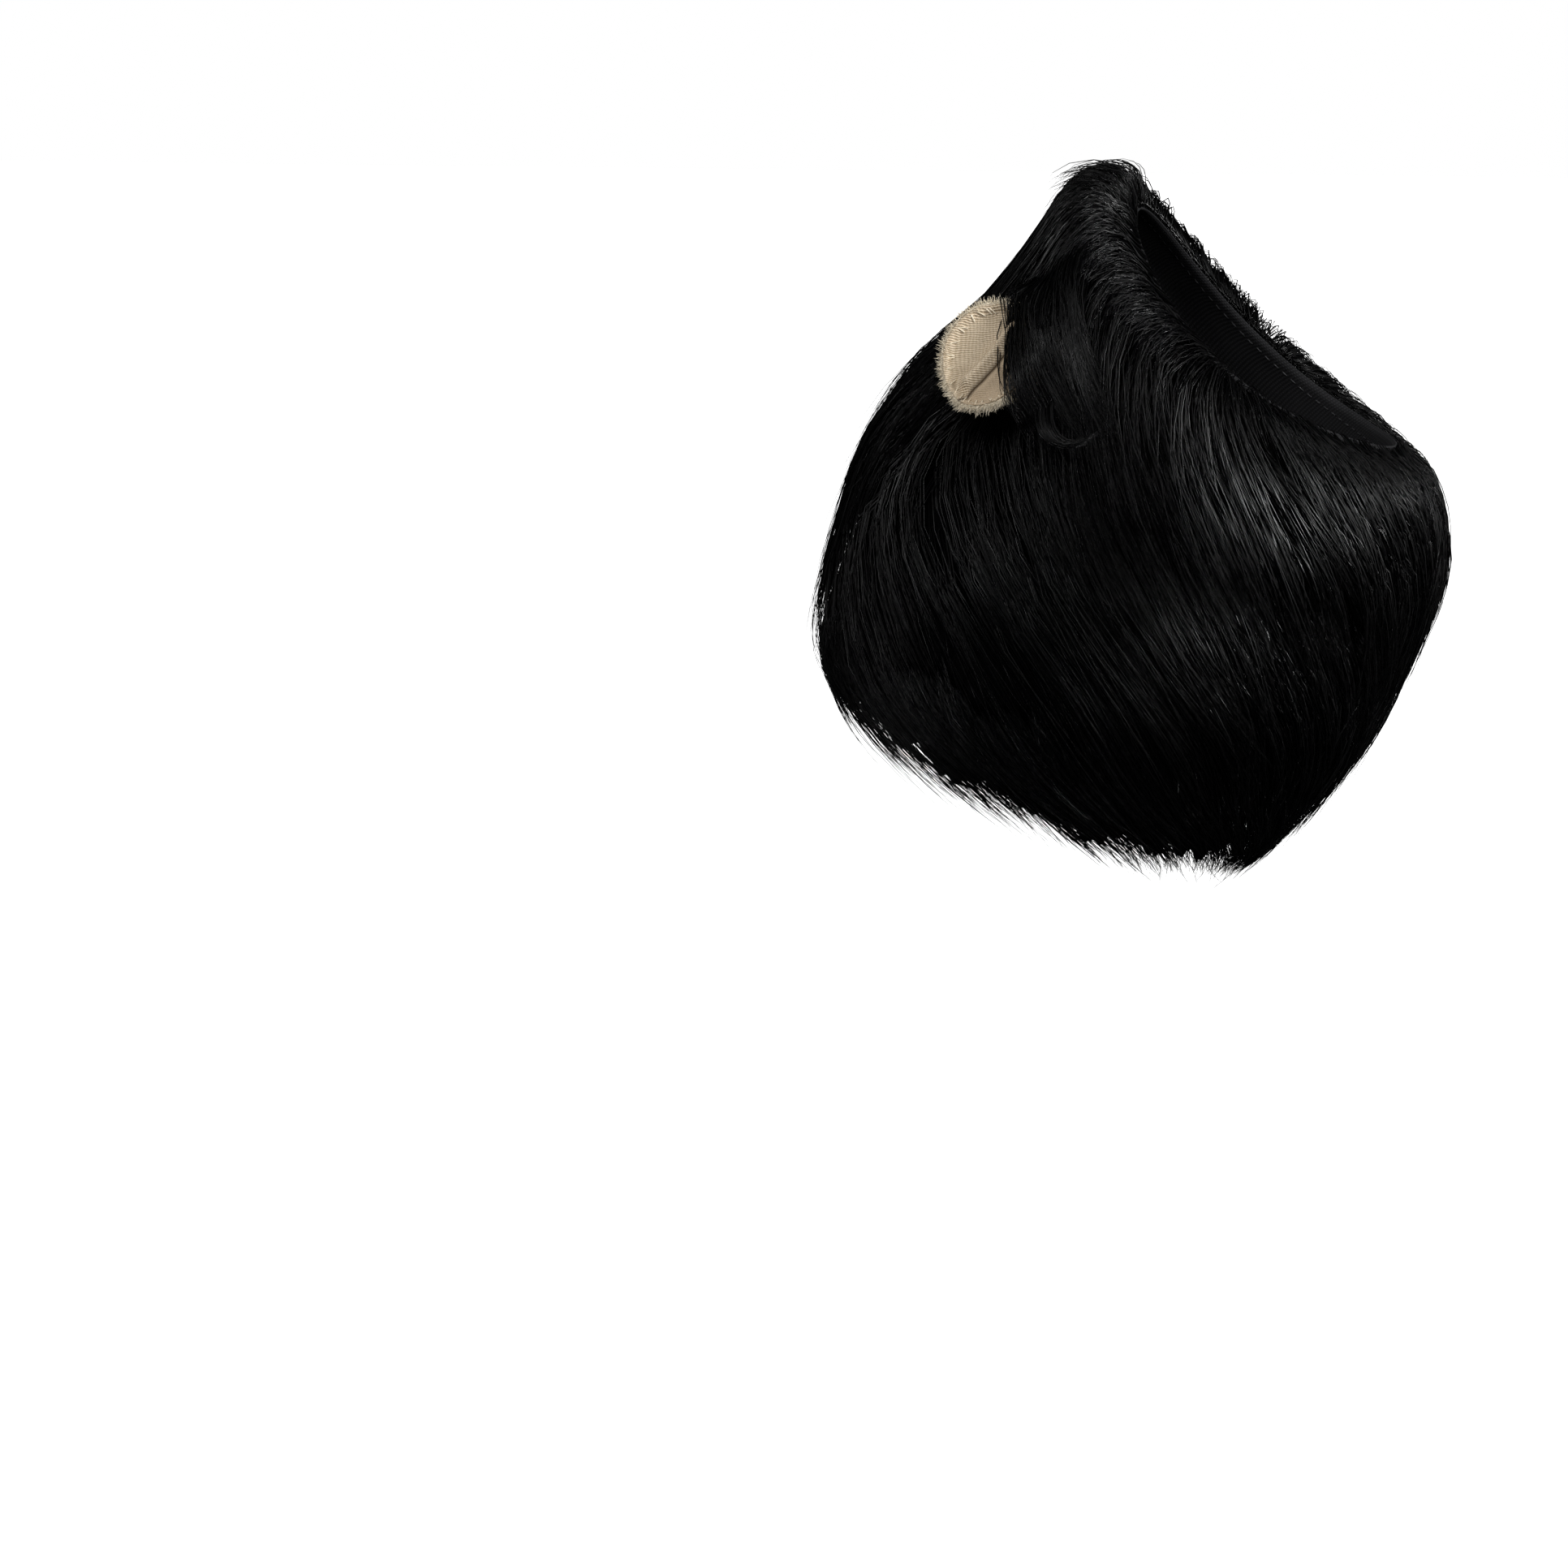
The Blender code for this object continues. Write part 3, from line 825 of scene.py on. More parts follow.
def make_strands(tier, count, width, material):
    """Loose strands over a tier, gathered into clumps that taper towards their tips."""
    grow = GROWTH[tier.name]
    chance = np.random.default_rng(grow.seed)
    along = np.linspace(0.0, 1.0, STRAND_POINTS)
    numbers = np.arange(grow.clumps)
    spread_out = ((numbers + 0.5) / grow.clumps) ** (1.4 if tier.name == "crown" else 1.0)
    clump_root = grow.first_root + (grow.last_root - grow.first_root) * spread_out
    clump_angle = numbers * GOLDEN_ANGLE + chance.uniform(-0.08, 0.08, grow.clumps)
    clump_reach = chance.uniform(grow.shortest, grow.longest, grow.clumps)
    if tier.name == "cape":
        clump_reach = clump_reach * (reach_within(clump_angle, clump_root, np.full(grow.clumps, 0.9)))
    clump_reach = reach_within(clump_angle, clump_root, clump_reach)
    clump_path = fallen(clump_angle, clump_root, clump_reach, along)
    big_lock = np.sin(9.0 * clump_angle + 5.0 * clump_root) * np.cos(5.0 * clump_angle - 17.0 * clump_root)
    clump_lift = np.clip(chance.normal(0.0, 0.042, grow.clumps), -0.10, 0.06) + 0.035 * big_lock
    clump_swing = chance.normal(0.0, 0.055, grow.clumps)
    clump_wave = chance.uniform(0.0, FULL_TURN, grow.clumps)
    clump_shade = chance.uniform(0.0, 1.0, grow.clumps)

    clump = chance.integers(0, grow.clumps, count)
    along = along[None, :]
    aside = np.clip(chance.normal(0.0, 1.0, count), -2.2, 2.2)[:, None]
    root = np.clip(clump_root[clump] + chance.normal(0.0, 0.014, count), 0.0, 1.05)
    reach = clump_reach[clump] * chance.uniform(0.76, 1.06, count)
    station = root[:, None] + reach[:, None] * along
    angle = clump_path[clump] + aside * grow.spread * (1.0 - 0.86 * along ** 1.1)
    angle = angle + clump_swing[clump][:, None] * along ** 2
    angle = angle + 0.030 * np.sin(5.0 * along + clump_wave[clump][:, None]) * along
    angle = angle + chance.normal(0.0, 0.012, count)[:, None] * along ** 2

    top = tier_value(tier, tier.top, station)
    rise = smooth(-0.12, 0.24, along)
    round_clump = 0.050 * (1.0 - (aside / 1.4) ** 2) * np.sin(math.pi * (0.1 + 0.8 * along))
    level = top * (0.12 + 0.88 * rise) + round_clump + clump_lift[clump][:, None] * along
    level = level - chance.uniform(0.0, 0.08, count)[:, None] * rise
    level = np.clip(level, 0.05, 1.06)

    paths = fur_layer(angle, station, level)
    ups = outward(fur_outside, angle, station)
    taper = np.clip(1.0 - along ** 2.0, 0.06, 1.0)
    radii = width / 2.0 * chance.uniform(0.55, 1.15, count)[:, None] * taper
    shade = chance.uniform(0.0, 1.0, count) * 0.55 + clump_shade[clump] * 0.45
    parts = math.ceil(count * STRAND_TRIANGLES / PIECE_TRIANGLES)
    order = np.argsort(np.cos(clump_angle[clump] + 0.3), kind="stable")
    for part, chosen in enumerate(np.array_split(order, parts)):
        suffix = f"_{part + 1}" if parts > 1 else ""
        made = strand_piece(
            f"{tier.name}_strands{suffix}", paths[chosen], radii[chosen], ups[chosen], shade[chosen], material,
        )
        finish_piece(made, "black_fur")


def make_loose_hairs(count, width, material):
    """Fine single hairs that stand off the fur and soften its outline, more at the free ends."""
    chance = np.random.default_rng(17)
    along = np.linspace(0.0, 1.0, 7)
    start = chance.uniform(0.0, FULL_TURN, count)
    root = 1.10 * chance.uniform(0.0, 1.0, count) ** 0.55
    reach = reach_within(start, root, chance.uniform(0.20, 0.42, count)) + chance.uniform(0.0, 0.10, count)
    angle = fallen(start, root, reach, along)
    along = along[None, :]
    station = root[:, None] + reach[:, None] * along
    angle = angle + chance.normal(0.0, 0.10, count)[:, None] * along ** 1.5
    angle = angle + chance.normal(0.0, 0.05, count)[:, None] * np.sin(math.pi * along)
    stand = np.abs(chance.normal(0.0, 0.075, count))[:, None]
    level = np.clip(0.86 + 0.12 * smooth(0.0, 0.3, along) + stand * along ** 1.4, 0.1, 1.12)
    paths = fur_layer(angle, station, level)
    ups = outward(fur_outside, angle, station)
    radii = width * 0.24 * chance.uniform(0.7, 1.2, count)[:, None] * np.clip(1.0 - along ** 2, 0.10, 1.0)
    made = strand_piece("loose_hairs", paths, radii, ups, chance.uniform(0.2, 1.0, count), material)
    finish_piece(made, "black_fur")


def make_rim_hairs(count, width, material):
    """Short hairs that rise from the face opening's edge and curve back over the fur."""
    chance = np.random.default_rng(21)
    along = np.linspace(0.0, 1.0, 6)
    line = chance.uniform(0.0, FULL_TURN, count)
    root = 0.045 * chance.uniform(0.0, 1.0, count) ** 1.5
    reach = chance.uniform(0.08, 0.20, count)
    angle = fallen(line, root, reach, along)
    along = along[None, :]
    station = root[:, None] + reach[:, None] * along
    angle = angle + chance.normal(0.0, 0.05, count)[:, None] * along
    top = tier_value(TIERS[2], TIERS[2].top, station)
    level = top * (0.05 + 0.95 * smooth(-0.10, 0.55, along)) * chance.uniform(0.82, 1.04, count)[:, None]
    paths = fur_layer(angle, station, level)
    ups = outward(fur_outside, angle, station)
    radii = width / 2.0 * chance.uniform(0.5, 0.95, count)[:, None] * np.clip(1.0 - along ** 2.2, 0.12, 1.0)
    made = strand_piece("rim_hairs", paths, radii, ups, chance.uniform(0, 1, count), material)
    finish_piece(made, "black_fur")


def make_forelock(count, width, material):
    """The tuft over the forehead, which rises from the hem and curls back over the crown."""
    chance = np.random.default_rng(23)
    along = np.linspace(0.0, 1.0, 8)[None, :]
    tufts = 9
    tuft = chance.integers(0, tufts, count)
    tuft_line = np.linspace(-0.50, 0.50, tufts)
    tuft_reach = chance.uniform(0.07, 0.19, tufts)
    tuft_height = chance.uniform(0.014, 0.031, tufts)
    tuft_curl = chance.normal(0.0, 0.20, tufts)
    aside = chance.normal(0.0, 0.055, count)[:, None] * (1.0 - 0.75 * along)
    line = tuft_line[tuft][:, None] + aside
    root = chance.uniform(0.000, 0.030, count)[:, None]
    reach = (tuft_reach[tuft] * chance.uniform(0.75, 1.10, count))[:, None]
    station = root + reach * along ** 1.5
    angle = line + (tuft_curl[tuft][:, None] + 0.5 * line) * along ** 2
    seat = hood_layer(angle, station, np.full(angle.shape, HOOD_WALL * 0.6))
    out = outward(hood_inside, angle, station)
    height = (tuft_height[tuft] * chance.uniform(0.8, 1.15, count))[:, None] * np.sin(math.pi * (0.72 * along))
    level = height + 0.014 * along
    paths = seat + out * level[..., None]
    radii = width / 2.0 * chance.uniform(0.5, 0.9, count)[:, None] * np.clip(1.0 - along ** 2.4, 0.1, 1.0)
    ups = unit(np.cross(out, np.broadcast_to(np.array([1.0, 0.0, 0.0]), out.shape)))
    made = strand_piece("forelock", paths, radii, ups, chance.uniform(0.3, 1, count), material)
    finish_piece(made, "black_fur")


def make_ear_hairs(side_name, side, count, width, material):
    """Black hairs that fall over an ear's base, from above it down past its lower end."""
    chance = np.random.default_rng(51 if side < 0.0 else 52)
    along_hair = np.linspace(0.0, 1.0, 8)[None, :]
    locks = 46
    lock = chance.integers(0, locks, count)
    lock_base = chance.uniform(-0.50, 0.34, locks) + chance.normal(0.0, 0.05, locks)
    lock_drift = chance.normal(-0.16, 0.09, locks)
    lock_length_share = chance.uniform(1.15, 1.60, locks)
    aside = chance.normal(0.0, 0.055, count)[:, None] * (1.0 - 0.75 * along_hair)
    base = lock_base[lock][:, None] + aside + chance.normal(0.0, 0.02, count)[:, None]
    start = EAR_WIDTH * chance.uniform(-0.85, -0.35, count)[:, None]
    length = EAR_WIDTH * (lock_length_share[lock] * chance.uniform(0.75, 1.05, count))[:, None]
    across = start + length * along_hair
    bend = lock_drift[lock][:, None] * along_hair ** 1.6 + 0.05 * np.sin(math.pi * along_hair)
    along = EAR_LENGTH * (base + bend)
    lift = chance.uniform(0.008, 0.013, count)[:, None] + 0.007 * (1.0 - smooth(0.0, 0.25, along / EAR_LENGTH))
    past_edge = np.hypot(across / (EAR_WIDTH / 2.0), along / (EAR_LENGTH / 2.0) - 1.0)
    on_ear = 1.0 - smooth(1.02, 1.62, past_edge)
    lift = lift * (0.35 + 0.65 * on_ear)
    height = -0.004 + (lift + 0.004) * smooth(0.0, 0.25, along_hair) - 0.006 * smooth(0.75, 1.0, along_hair)
    paths = ear_point(across, along, height, side, on_ear)
    ups = np.broadcast_to(outward(fur_outside, np.array(EAR_ANGLE), np.array(EAR_PLACE)), paths.shape)
    ups = ups * np.array([side, 1.0, 1.0])
    radii = width * 0.40 * chance.uniform(0.6, 1.1, count)[:, None] * np.clip(1.0 - along_hair ** 2.4, 0.1, 1.0)
    made = strand_piece(f"{side_name}_ear_hairs", paths, radii, ups, chance.uniform(0, 1, count), material)
    finish_piece(made, "black_fur")
    make_curl(side_name, side, width, material)


def make_curl(side_name, side, width, material):
    """A small stray lock under each ear that hooks forwards."""
    chance = np.random.default_rng(71 if side < 0.0 else 72)
    count = 70
    step = np.linspace(0.0, 1.0, 9)[None, :]
    aside = chance.normal(0.0, 0.055, count)[:, None] * (1.0 - 0.6 * step)
    reach = chance.uniform(0.75, 1.10, count)[:, None] * step
    along = EAR_LENGTH * (0.06 + aside - 0.46 * reach ** 2.4)
    across = EAR_WIDTH * (0.46 + aside * 0.4 + 0.46 * np.sin(2.0 * reach))
    height = 0.002 + 0.014 * np.sin(math.pi * (0.08 + 0.72 * step)) + chance.uniform(0.0, 0.003, count)[:, None]
    paths = ear_point(across, along, height, side, 0.5)
    ups = np.broadcast_to(outward(fur_outside, np.array(EAR_ANGLE), np.array(EAR_PLACE)), paths.shape)
    ups = ups * np.array([side, 1.0, 1.0])
    radii = width * 0.34 * chance.uniform(0.6, 1.1, count)[:, None] * np.clip(1.0 - step ** 2.2, 0.1, 1.0)
    made = strand_piece(f"{side_name}_curl", paths, radii, ups, chance.uniform(0.5, 1, count), material)
    finish_piece(made, "black_fur")


# Hood

def make_hood(settings):
    """The knitted tube with a turned hem at both openings, and the hem's stitches."""
    columns = 144
    rows_count = 44
    angles = np.arange(columns) / columns * FULL_TURN
    stations = np.linspace(0.0, 1.0, rows_count)
    length = HOOD_HEIGHT
    hem = settings.hem_width / length
    turned = np.maximum(1.0 - smooth(0.0, hem, stations - hem * 0.6), smooth(-hem, 0.0, stations - 1.0 + hem * 0.6))
    edge = np.minimum(stations, 1.0 - stations) / (hem * 0.25)
    rounded = np.sqrt(np.clip(1.0 - (1.0 - np.clip(edge, 0.0, 1.0)) ** 2, 0.0, 1.0))
    middle = (HOOD_WALL - settings.hem_roll * turned) / 2.0
    half = (HOOD_WALL + settings.hem_roll * turned) / 2.0 * (0.25 + 0.75 * rounded)
    rows = []
    uv_rows = []
    girth = HOOD_WIDTH * math.pi * 0.95
    for row in range(rows_count):
        height = np.full(columns, middle[row] - half[row])
        rows.append(hood_layer(angles, np.full(columns, stations[row]), height))
        uv_rows.append(np.stack([
            np.round(girth / settings.wale_spacing) * angles / FULL_TURN,
            np.full(columns, stations[row] * length / settings.wale_spacing),
        ], axis=-1))
    for row in reversed(range(rows_count)):
        height = np.full(columns, middle[row] + half[row])
        rows.append(hood_layer(angles, np.full(columns, stations[row]), height))
        uv_rows.append(uv_rows[row])
    made = closed_wall("knit_hood", np.array(rows), np.array(uv_rows), knit_material(settings))
    finish_piece(made, "knit_backing", "hood")
    make_hem_stitches(settings, hem)


def make_hem_stitches(settings, hem):
    """A row of short stitches round each turned hem, on the hood's inner face."""
    chance = np.random.default_rng(31)
    paths = []
    for station, number in ((hem * 0.9, 92), (1.0 - hem * 0.9, 120)):
        start = np.arange(number) / number * FULL_TURN
        stride = FULL_TURN / number * 0.62
        along = np.linspace(0.0, 1.0, 6)[None, :]
        angle = start[:, None] + stride * along
        where = np.full(angle.shape, station) + chance.normal(0.0, 0.0008, number)[:, None]
        bulge = -settings.hem_roll - 0.0001 - 0.0004 * np.sin(math.pi * along)
        paths.append(hood_layer(angle, where, np.broadcast_to(bulge, angle.shape)))
    paths = np.concatenate(paths)
    ups = unit(paths * np.array([-1.0, 0.0, 0.0]) + np.array([0.0, 0.0, 0.2]))
    radii = np.full(paths.shape[:2], 0.00045)
    made = strand_piece("hem_stitches", paths, radii, ups, chance.uniform(0, 1, len(paths)), thread_material(settings))
    finish_piece(made, "knit_backing")


# Ears

def ear_point(across, along, height, side, lifted=1.0):
    """Points of an ear, laid from its flat pattern onto the fur, on the side -1 or 1.

    Hairs that pass the ear's edge are lifted by less and less of its stand and fold.
    """
    turned_across = across * math.cos(EAR_TURN) + along * math.sin(EAR_TURN)
    turned_along = along * math.cos(EAR_TURN) - across * math.sin(EAR_TURN)
    step = 0.01
    place = np.array(EAR_ANGLE), np.array(EAR_PLACE)
    base = fur_outside(*place)
    per_radian = np.linalg.norm(fur_outside(place[0] + step, place[1]) - base) / step
    per_station = np.linalg.norm(fur_outside(place[0], place[1] + step) - base) / step
    opened = np.clip(along / EAR_LENGTH / EAR_FOLD_START, 0.0, 1.0)
    from_fold = across - EAR_CREASE_SLOPE * (along - EAR_CREASE * EAR_LENGTH)
    fold = np.where(
        from_fold > 0.0,
        EAR_FLAP_SLOPE * from_fold,
        EAR_CUP_SLOPE * from_fold ** 2 / (EAR_WIDTH / 2.0),
    )
    stand = EAR_STAND_SLOPE * np.maximum(along, 0.0)
    lift = 0.0006 + (stand + fold * opened) * lifted + height
    normal = outward(fur_outside, *place)
    points = fur_outside(EAR_ANGLE + turned_across / per_radian, EAR_PLACE + turned_along / per_station)
    points = points + normal * lift[..., None]
    return points * np.array([side, 1.0, 1.0])


def ear_outline(turn, share):
    """The ear's pattern: points at a share of the way from its middle to its outline."""
    along = np.cos(turn)
    across = np.sin(turn) * (1.0 + 0.12 * along)
    return across * EAR_WIDTH / 2.0 * share, EAR_LENGTH / 2.0 * (1.0 + along * share)


def ear_plate(name, side, shares, lows, highs, material):
    """A closed plate over the ear's pattern: rings of points below and above, closed at its middle."""
    spokes = 96
    turn = np.arange(spokes) / spokes * FULL_TURN
    stack = []
    uv_stack = []
    for shares_list, heights in ((shares, lows), (shares[::-1], highs[::-1])):
        for share, height in zip(shares_list, heights):
            across, along = ear_outline(turn, share)
            level = height(across, along) if callable(height) else np.full(spokes, height)
            stack.append(ear_point(across, along, level, side))
            uv_stack.append(np.stack([across, along], axis=-1))
    rows = np.array(stack)
    count = len(stack)
    quads = grid_quads(count, spokes, False)
    poles = [rows[0].mean(axis=0), rows[-1].mean(axis=0)]
    points = np.concatenate([rows.reshape(-1, 3), np.array(poles)])
    uv = np.concatenate([np.array(uv_stack).reshape(-1, 2), [[0.0, EAR_LENGTH / 2.0]] * 2])
    here = np.arange(spokes)
    there = np.roll(here, -1)
    low_pole = np.full(spokes, count * spokes)
    first = np.stack([low_pole, there, here], axis=-1)
    top = (count - 1) * spokes
    last = np.stack([low_pole + 1, top + here, top + there], axis=-1)
    made = mesh_from_arrays(name, points, quads, np.concatenate([first, last]), uv, material)
    turn_outwards(made)
    return made


def lining_relief(across, along):
    """Height of the lining over its seat: the broad flap swells and drops into the fold."""
    from_fold = (across - EAR_CREASE_SLOPE * (along - EAR_CREASE * EAR_LENGTH)) / math.hypot(1.0, EAR_CREASE_SLOPE)
    from_fold = from_fold - CREASE_SHIFT
    from_edge = 1.0 - np.hypot(across / (EAR_WIDTH / 2.0), along / (EAR_LENGTH / 2.0) - 1.0)
    deep = smooth(0.16, 0.40, from_edge)
    swell = 0.0075 * np.exp(-((from_fold + 0.0065) / 0.0048) ** 2)
    lip = 0.0026 * np.exp(-((from_fold - 0.0055) / 0.0034) ** 2)
    dimple = 0.0006 * np.sin(across * 420.0 + 1.0) * np.sin(along * 260.0)
    return 0.0014 + (swell + lip) * deep + dimple * 0.5


def make_ear(settings, side_name, side, plush, ribbed, fluff):
    """The plush shell, its fluff, the folded lining and the stitches that hold it."""
    inset = 1.0 - 2.0 * EAR_RIM_WIDTH / EAR_WIDTH
    inner = list(np.linspace(0.04, inset, 16))
    rim = list(inset + (1.0 - inset) * np.array([0.12, 0.3, 0.5, 0.7, 0.85, 0.95, 1.0]))
    rim_height = EAR_WALL + EAR_RIM * np.sqrt(np.clip(1.0 - ((np.array(rim) - (1.0 + inset) / 2.0) / ((1.0 - inset) / 2.0 * 1.02)) ** 2, 0.0, 1.0))
    low = [0.0] * len(inner) + [0.0, 0.0, 0.0, 0.0002, 0.0006, 0.0012, 0.0022]
    high = [EAR_WALL] * len(inner) + [max(float(value), 0.0026) for value in rim_height]
    shell = ear_plate(f"{side_name}_ear_plush", side, inner + rim, low, high, plush)
    finish_piece(shell, "cream_plush", f"{side_name}_ear_shell")
    seat = EAR_WALL + 0.0004

    def seated(across, along):
        return seat + lining_relief(across, along)

    def on_slope(height):
        return lambda across, along: np.full(across.shape, height)

    edge_share = inset - 0.0012 / EAR_WIDTH
    slope_shares = [inset + (1.0 - inset) * part for part in (0.06, 0.20, 0.35, 0.50)]
    slope_heights = [EAR_WALL + EAR_RIM * arch + 0.0003 for arch in (0.48, 0.80, 0.95, 1.00)]
    shares = list(np.linspace(0.03, edge_share, 22)) + slope_shares
    lows = [seat] * 22 + slope_heights
    highs = [seated] * 22 + [on_slope(height + 0.0009) for height in slope_heights]
    lining = ear_plate(f"{side_name}_ear_cloth", side, shares, lows, highs, ribbed)
    finish_piece(lining, "ribbed_lining", f"{side_name}_ear_lining")
    make_fluff(settings, side_name, side, fluff)
    make_ear_stitches(side_name, side, inset, fluff)


def make_fluff(settings, side_name, side, material):
    """Fluff on the ear's rim and back, longest along the rim."""
    chance = np.random.default_rng(41 if side < 0.0 else 42)
    count = settings.fluff_hairs
    inset = 1.0 - 2.0 * EAR_RIM_WIDTH / EAR_WIDTH
    turn = chance.uniform(-2.1, 2.1, count)
    on_rim = chance.uniform(0.0, 1.0, count) < 0.72
    share = np.where(on_rim, chance.uniform(inset + 0.02, 1.0, count), np.sqrt(chance.uniform(0.02, 1.0, count)))
    across, along = ear_outline(turn, share)
    curve = np.sqrt(np.clip(1.0 - ((share - (1.0 + inset) / 2.0) / ((1.0 - inset) / 2.0)) ** 2, 0.0, 1.0))
    height = np.where(on_rim, EAR_WALL + EAR_RIM * curve - 0.0006, 0.0004)
    root = ear_point(across, along, height, side)
    wider = ear_point(*ear_outline(turn, share + 0.04), height, side)
    higher = ear_point(across, along, height + 0.002, side)
    outwards = unit(wider - root)
    upwards = unit(higher - root)
    lean = np.where(on_rim, (share - inset) / (1.0 - inset), 1.0)[:, None]
    upwards = np.where(on_rim[:, None], upwards, -upwards * 0.5)
    wild = chance.normal(0.0, 0.30, (count, 3))
    direction = unit(outwards * (0.25 + lean) + upwards * (1.15 - lean) + wild)
    curl = unit(chance.normal(0.0, 1.0, (count, 3)))
    length = settings.fluff_length * chance.uniform(0.55, 1.15, count) * np.where(on_rim, 1.0, 0.6)
    steps = np.linspace(0.0, 1.0, 5)[None, :, None]
    paths = root[:, None] + direction[:, None] * length[:, None, None] * steps
    paths = paths + curl[:, None] * (length * 0.28)[:, None, None] * steps ** 2
    radii = 0.00026 * chance.uniform(0.7, 1.2, count)[:, None] * np.array([1.0, 1.0, 0.85, 0.6, 0.2])[None, :]
    ups = np.broadcast_to(unit(np.cross(direction, curl))[:, None], paths.shape)
    made = strand_piece(f"{side_name}_ear_fluff", paths, radii, ups, chance.uniform(0, 1, count), material)
    finish_piece(made, "cream_plush")


def make_ear_stitches(side_name, side, inset, material):
    """Thick stitches that hold the lining's edge down inside the rim."""
    chance = np.random.default_rng(61 if side < 0.0 else 62)
    count = 22
    turn = (np.linspace(-1.9, 1.9, count) + chance.normal(0.0, 0.04, count))[:, None]
    slant = chance.normal(0.10, 0.06, count)[:, None]
    step = np.linspace(0.0, 1.0, 6)[None, :]
    across, along = ear_outline(turn + slant * step, inset - 0.05 + 0.10 * step)
    height = EAR_WALL + 0.0020 + 0.0026 * smooth(0.2, 1.0, step) + 0.0008 * np.sin(math.pi * step)
    paths = ear_point(across, along, np.broadcast_to(height, across.shape), side)
    ups = np.broadcast_to(outward(fur_outside, np.array(EAR_ANGLE), np.array(EAR_PLACE)), paths.shape)
    ups = ups * np.array([side, 1.0, 1.0])
    radii = np.full(paths.shape[:2], 0.00055)
    made = strand_piece(f"{side_name}_ear_stitches", paths, radii, ups, chance.uniform(0.6, 1, count), material)
    finish_piece(made, "cream_plush")


# Stage

def make_camera():
    """The camera stands where the photograph was taken from."""
    focal = CAMERA_LENS / SENSOR_WIDTH * PHOTO_SIDE
    azimuth = math.radians(CAMERA_AZIMUTH)
    elevation = math.radians(CAMERA_ELEVATION)
    toward_camera = Vector((
        math.sin(azimuth) * math.cos(elevation),
        -math.cos(azimuth) * math.cos(elevation),
        math.sin(elevation),
    ))
    yaw = math.atan2(MANE_PIXEL[0] - PHOTO_SIDE / 2.0, focal)
    pitch = math.atan2(PHOTO_SIDE / 2.0 - MANE_PIXEL[1], focal)
    axis_azimuth = azimuth + yaw
    axis_elevation = elevation + pitch
    back = Vector((
        math.sin(axis_azimuth) * math.cos(axis_elevation),
        -math.cos(axis_azimuth) * math.cos(axis_elevation),
        math.sin(axis_elevation),
    ))
    data = bpy.data.cameras.new("camera")
    data.lens = CAMERA_LENS
    data.sensor_width = SENSOR_WIDTH
    data.clip_end = 100.0
    camera = bpy.data.objects.new("camera", data)
    camera.location = MANE_CENTRE + toward_camera * CAMERA_DISTANCE
    camera.rotation_euler = back.to_track_quat("Z", "Y").to_euler()
    bpy.context.collection.objects.link(camera)
    bpy.context.scene.camera = camera


def make_light(name, place, target, size, power):
    """A square soft light that looks at a point."""
    data = bpy.data.lights.new(name, "AREA")
    data.shape = "SQUARE"
    data.size = size
    data.energy = power
    light = bpy.data.objects.new(name, data)
    light.location = place
    light.rotation_euler = (Vector(place) - Vector(target)).to_track_quat("Z", "Y").to_euler()
    bpy.context.collection.objects.link(light)


def make_floor(settings):
    """A wide pale floor at the height of the wearer's feet."""
    clear_selection()
    bpy.ops.mesh.primitive_plane_add(size=60.0, location=(0.0, 0.0, 0.0))
    floor = bpy.context.active_object
    floor.name = "floor"
    bpy.ops.object.mode_set(mode="EDIT")
    bpy.ops.mesh.select_all(action="SELECT")
    bpy.ops.transform.translate(value=(0.0, 0.0, FLOOR_HEIGHT))
    bpy.ops.mesh.subdivide(number_cuts=3)
    bpy.ops.object.mode_set(mode="OBJECT")
    floor.data.materials.append(floor_material(settings))
    floor.visible_diffuse = False
    floor.visible_glossy = False


def make_room(settings):
    """A room that is white near the horizon, dimmer above and dark below."""
    world = bpy.data.worlds.new("white room")
    world.use_nodes = True
    nodes = world.node_tree.nodes
    links = world.node_tree.links
    direction = nodes.new("ShaderNodeTexCoord")
    parts = nodes.new("ShaderNodeSeparateXYZ")
    height = nodes.new("ShaderNodeMapRange")
    height.inputs["From Min"].default_value = -1.0
    ramp = nodes.new("ShaderNodeValToRGB")
    links.new(direction.outputs["Generated"], parts.inputs[0])
    links.new(parts.outputs[2], height.inputs["Value"])
    links.new(height.outputs[0], ramp.inputs[0])
    links.new(ramp.outputs[0], nodes["Background"].inputs["Color"])
    bands = (
        (0.0, settings.below), (0.44, settings.below), (0.465, settings.horizon),
        (0.60, settings.horizon), (0.72, settings.sky), (1.0, settings.sky),
    )
    steps = ramp.color_ramp.elements
    for place, value in bands[1:-1]:
        steps.new(place)
    for step, (place, value) in zip(steps, bands):
        step.position = place
        step.color = (value, value, value, 1.0)
    world.cycles_visibility.glossy = False
    bpy.context.scene.world = world


class MANE_OT_stage(bpy.types.Operator):
    """Adds the camera, the lights, the white room and the floor"""
    bl_idname = "mane.stage"
    bl_label = "Stage"

    def execute(self, context):
        settings = context.scene.mane_stage
        make_camera()
        make_floor(settings)
        make_room(settings)
        make_light("key", (-0.4, -2.7, 0.95), MANE_CENTRE, 0.8, settings.key)
        make_light("top", (-1.7, 0.6, 1.5), MANE_CENTRE, 0.9, settings.top)
        context.scene.view_settings.view_transform = "Standard"
        context.scene.view_settings.look = "None"
        return {"FINISHED"}


class MANE_OT_hood(bpy.types.Operator):
    """Makes the knitted hood with its turned hem"""
    bl_idname = "mane.hood"
    bl_label = "Hood"

    def execute(self, context):
        make_hood(context.scene.mane_hood)
        return {"FINISHED"}


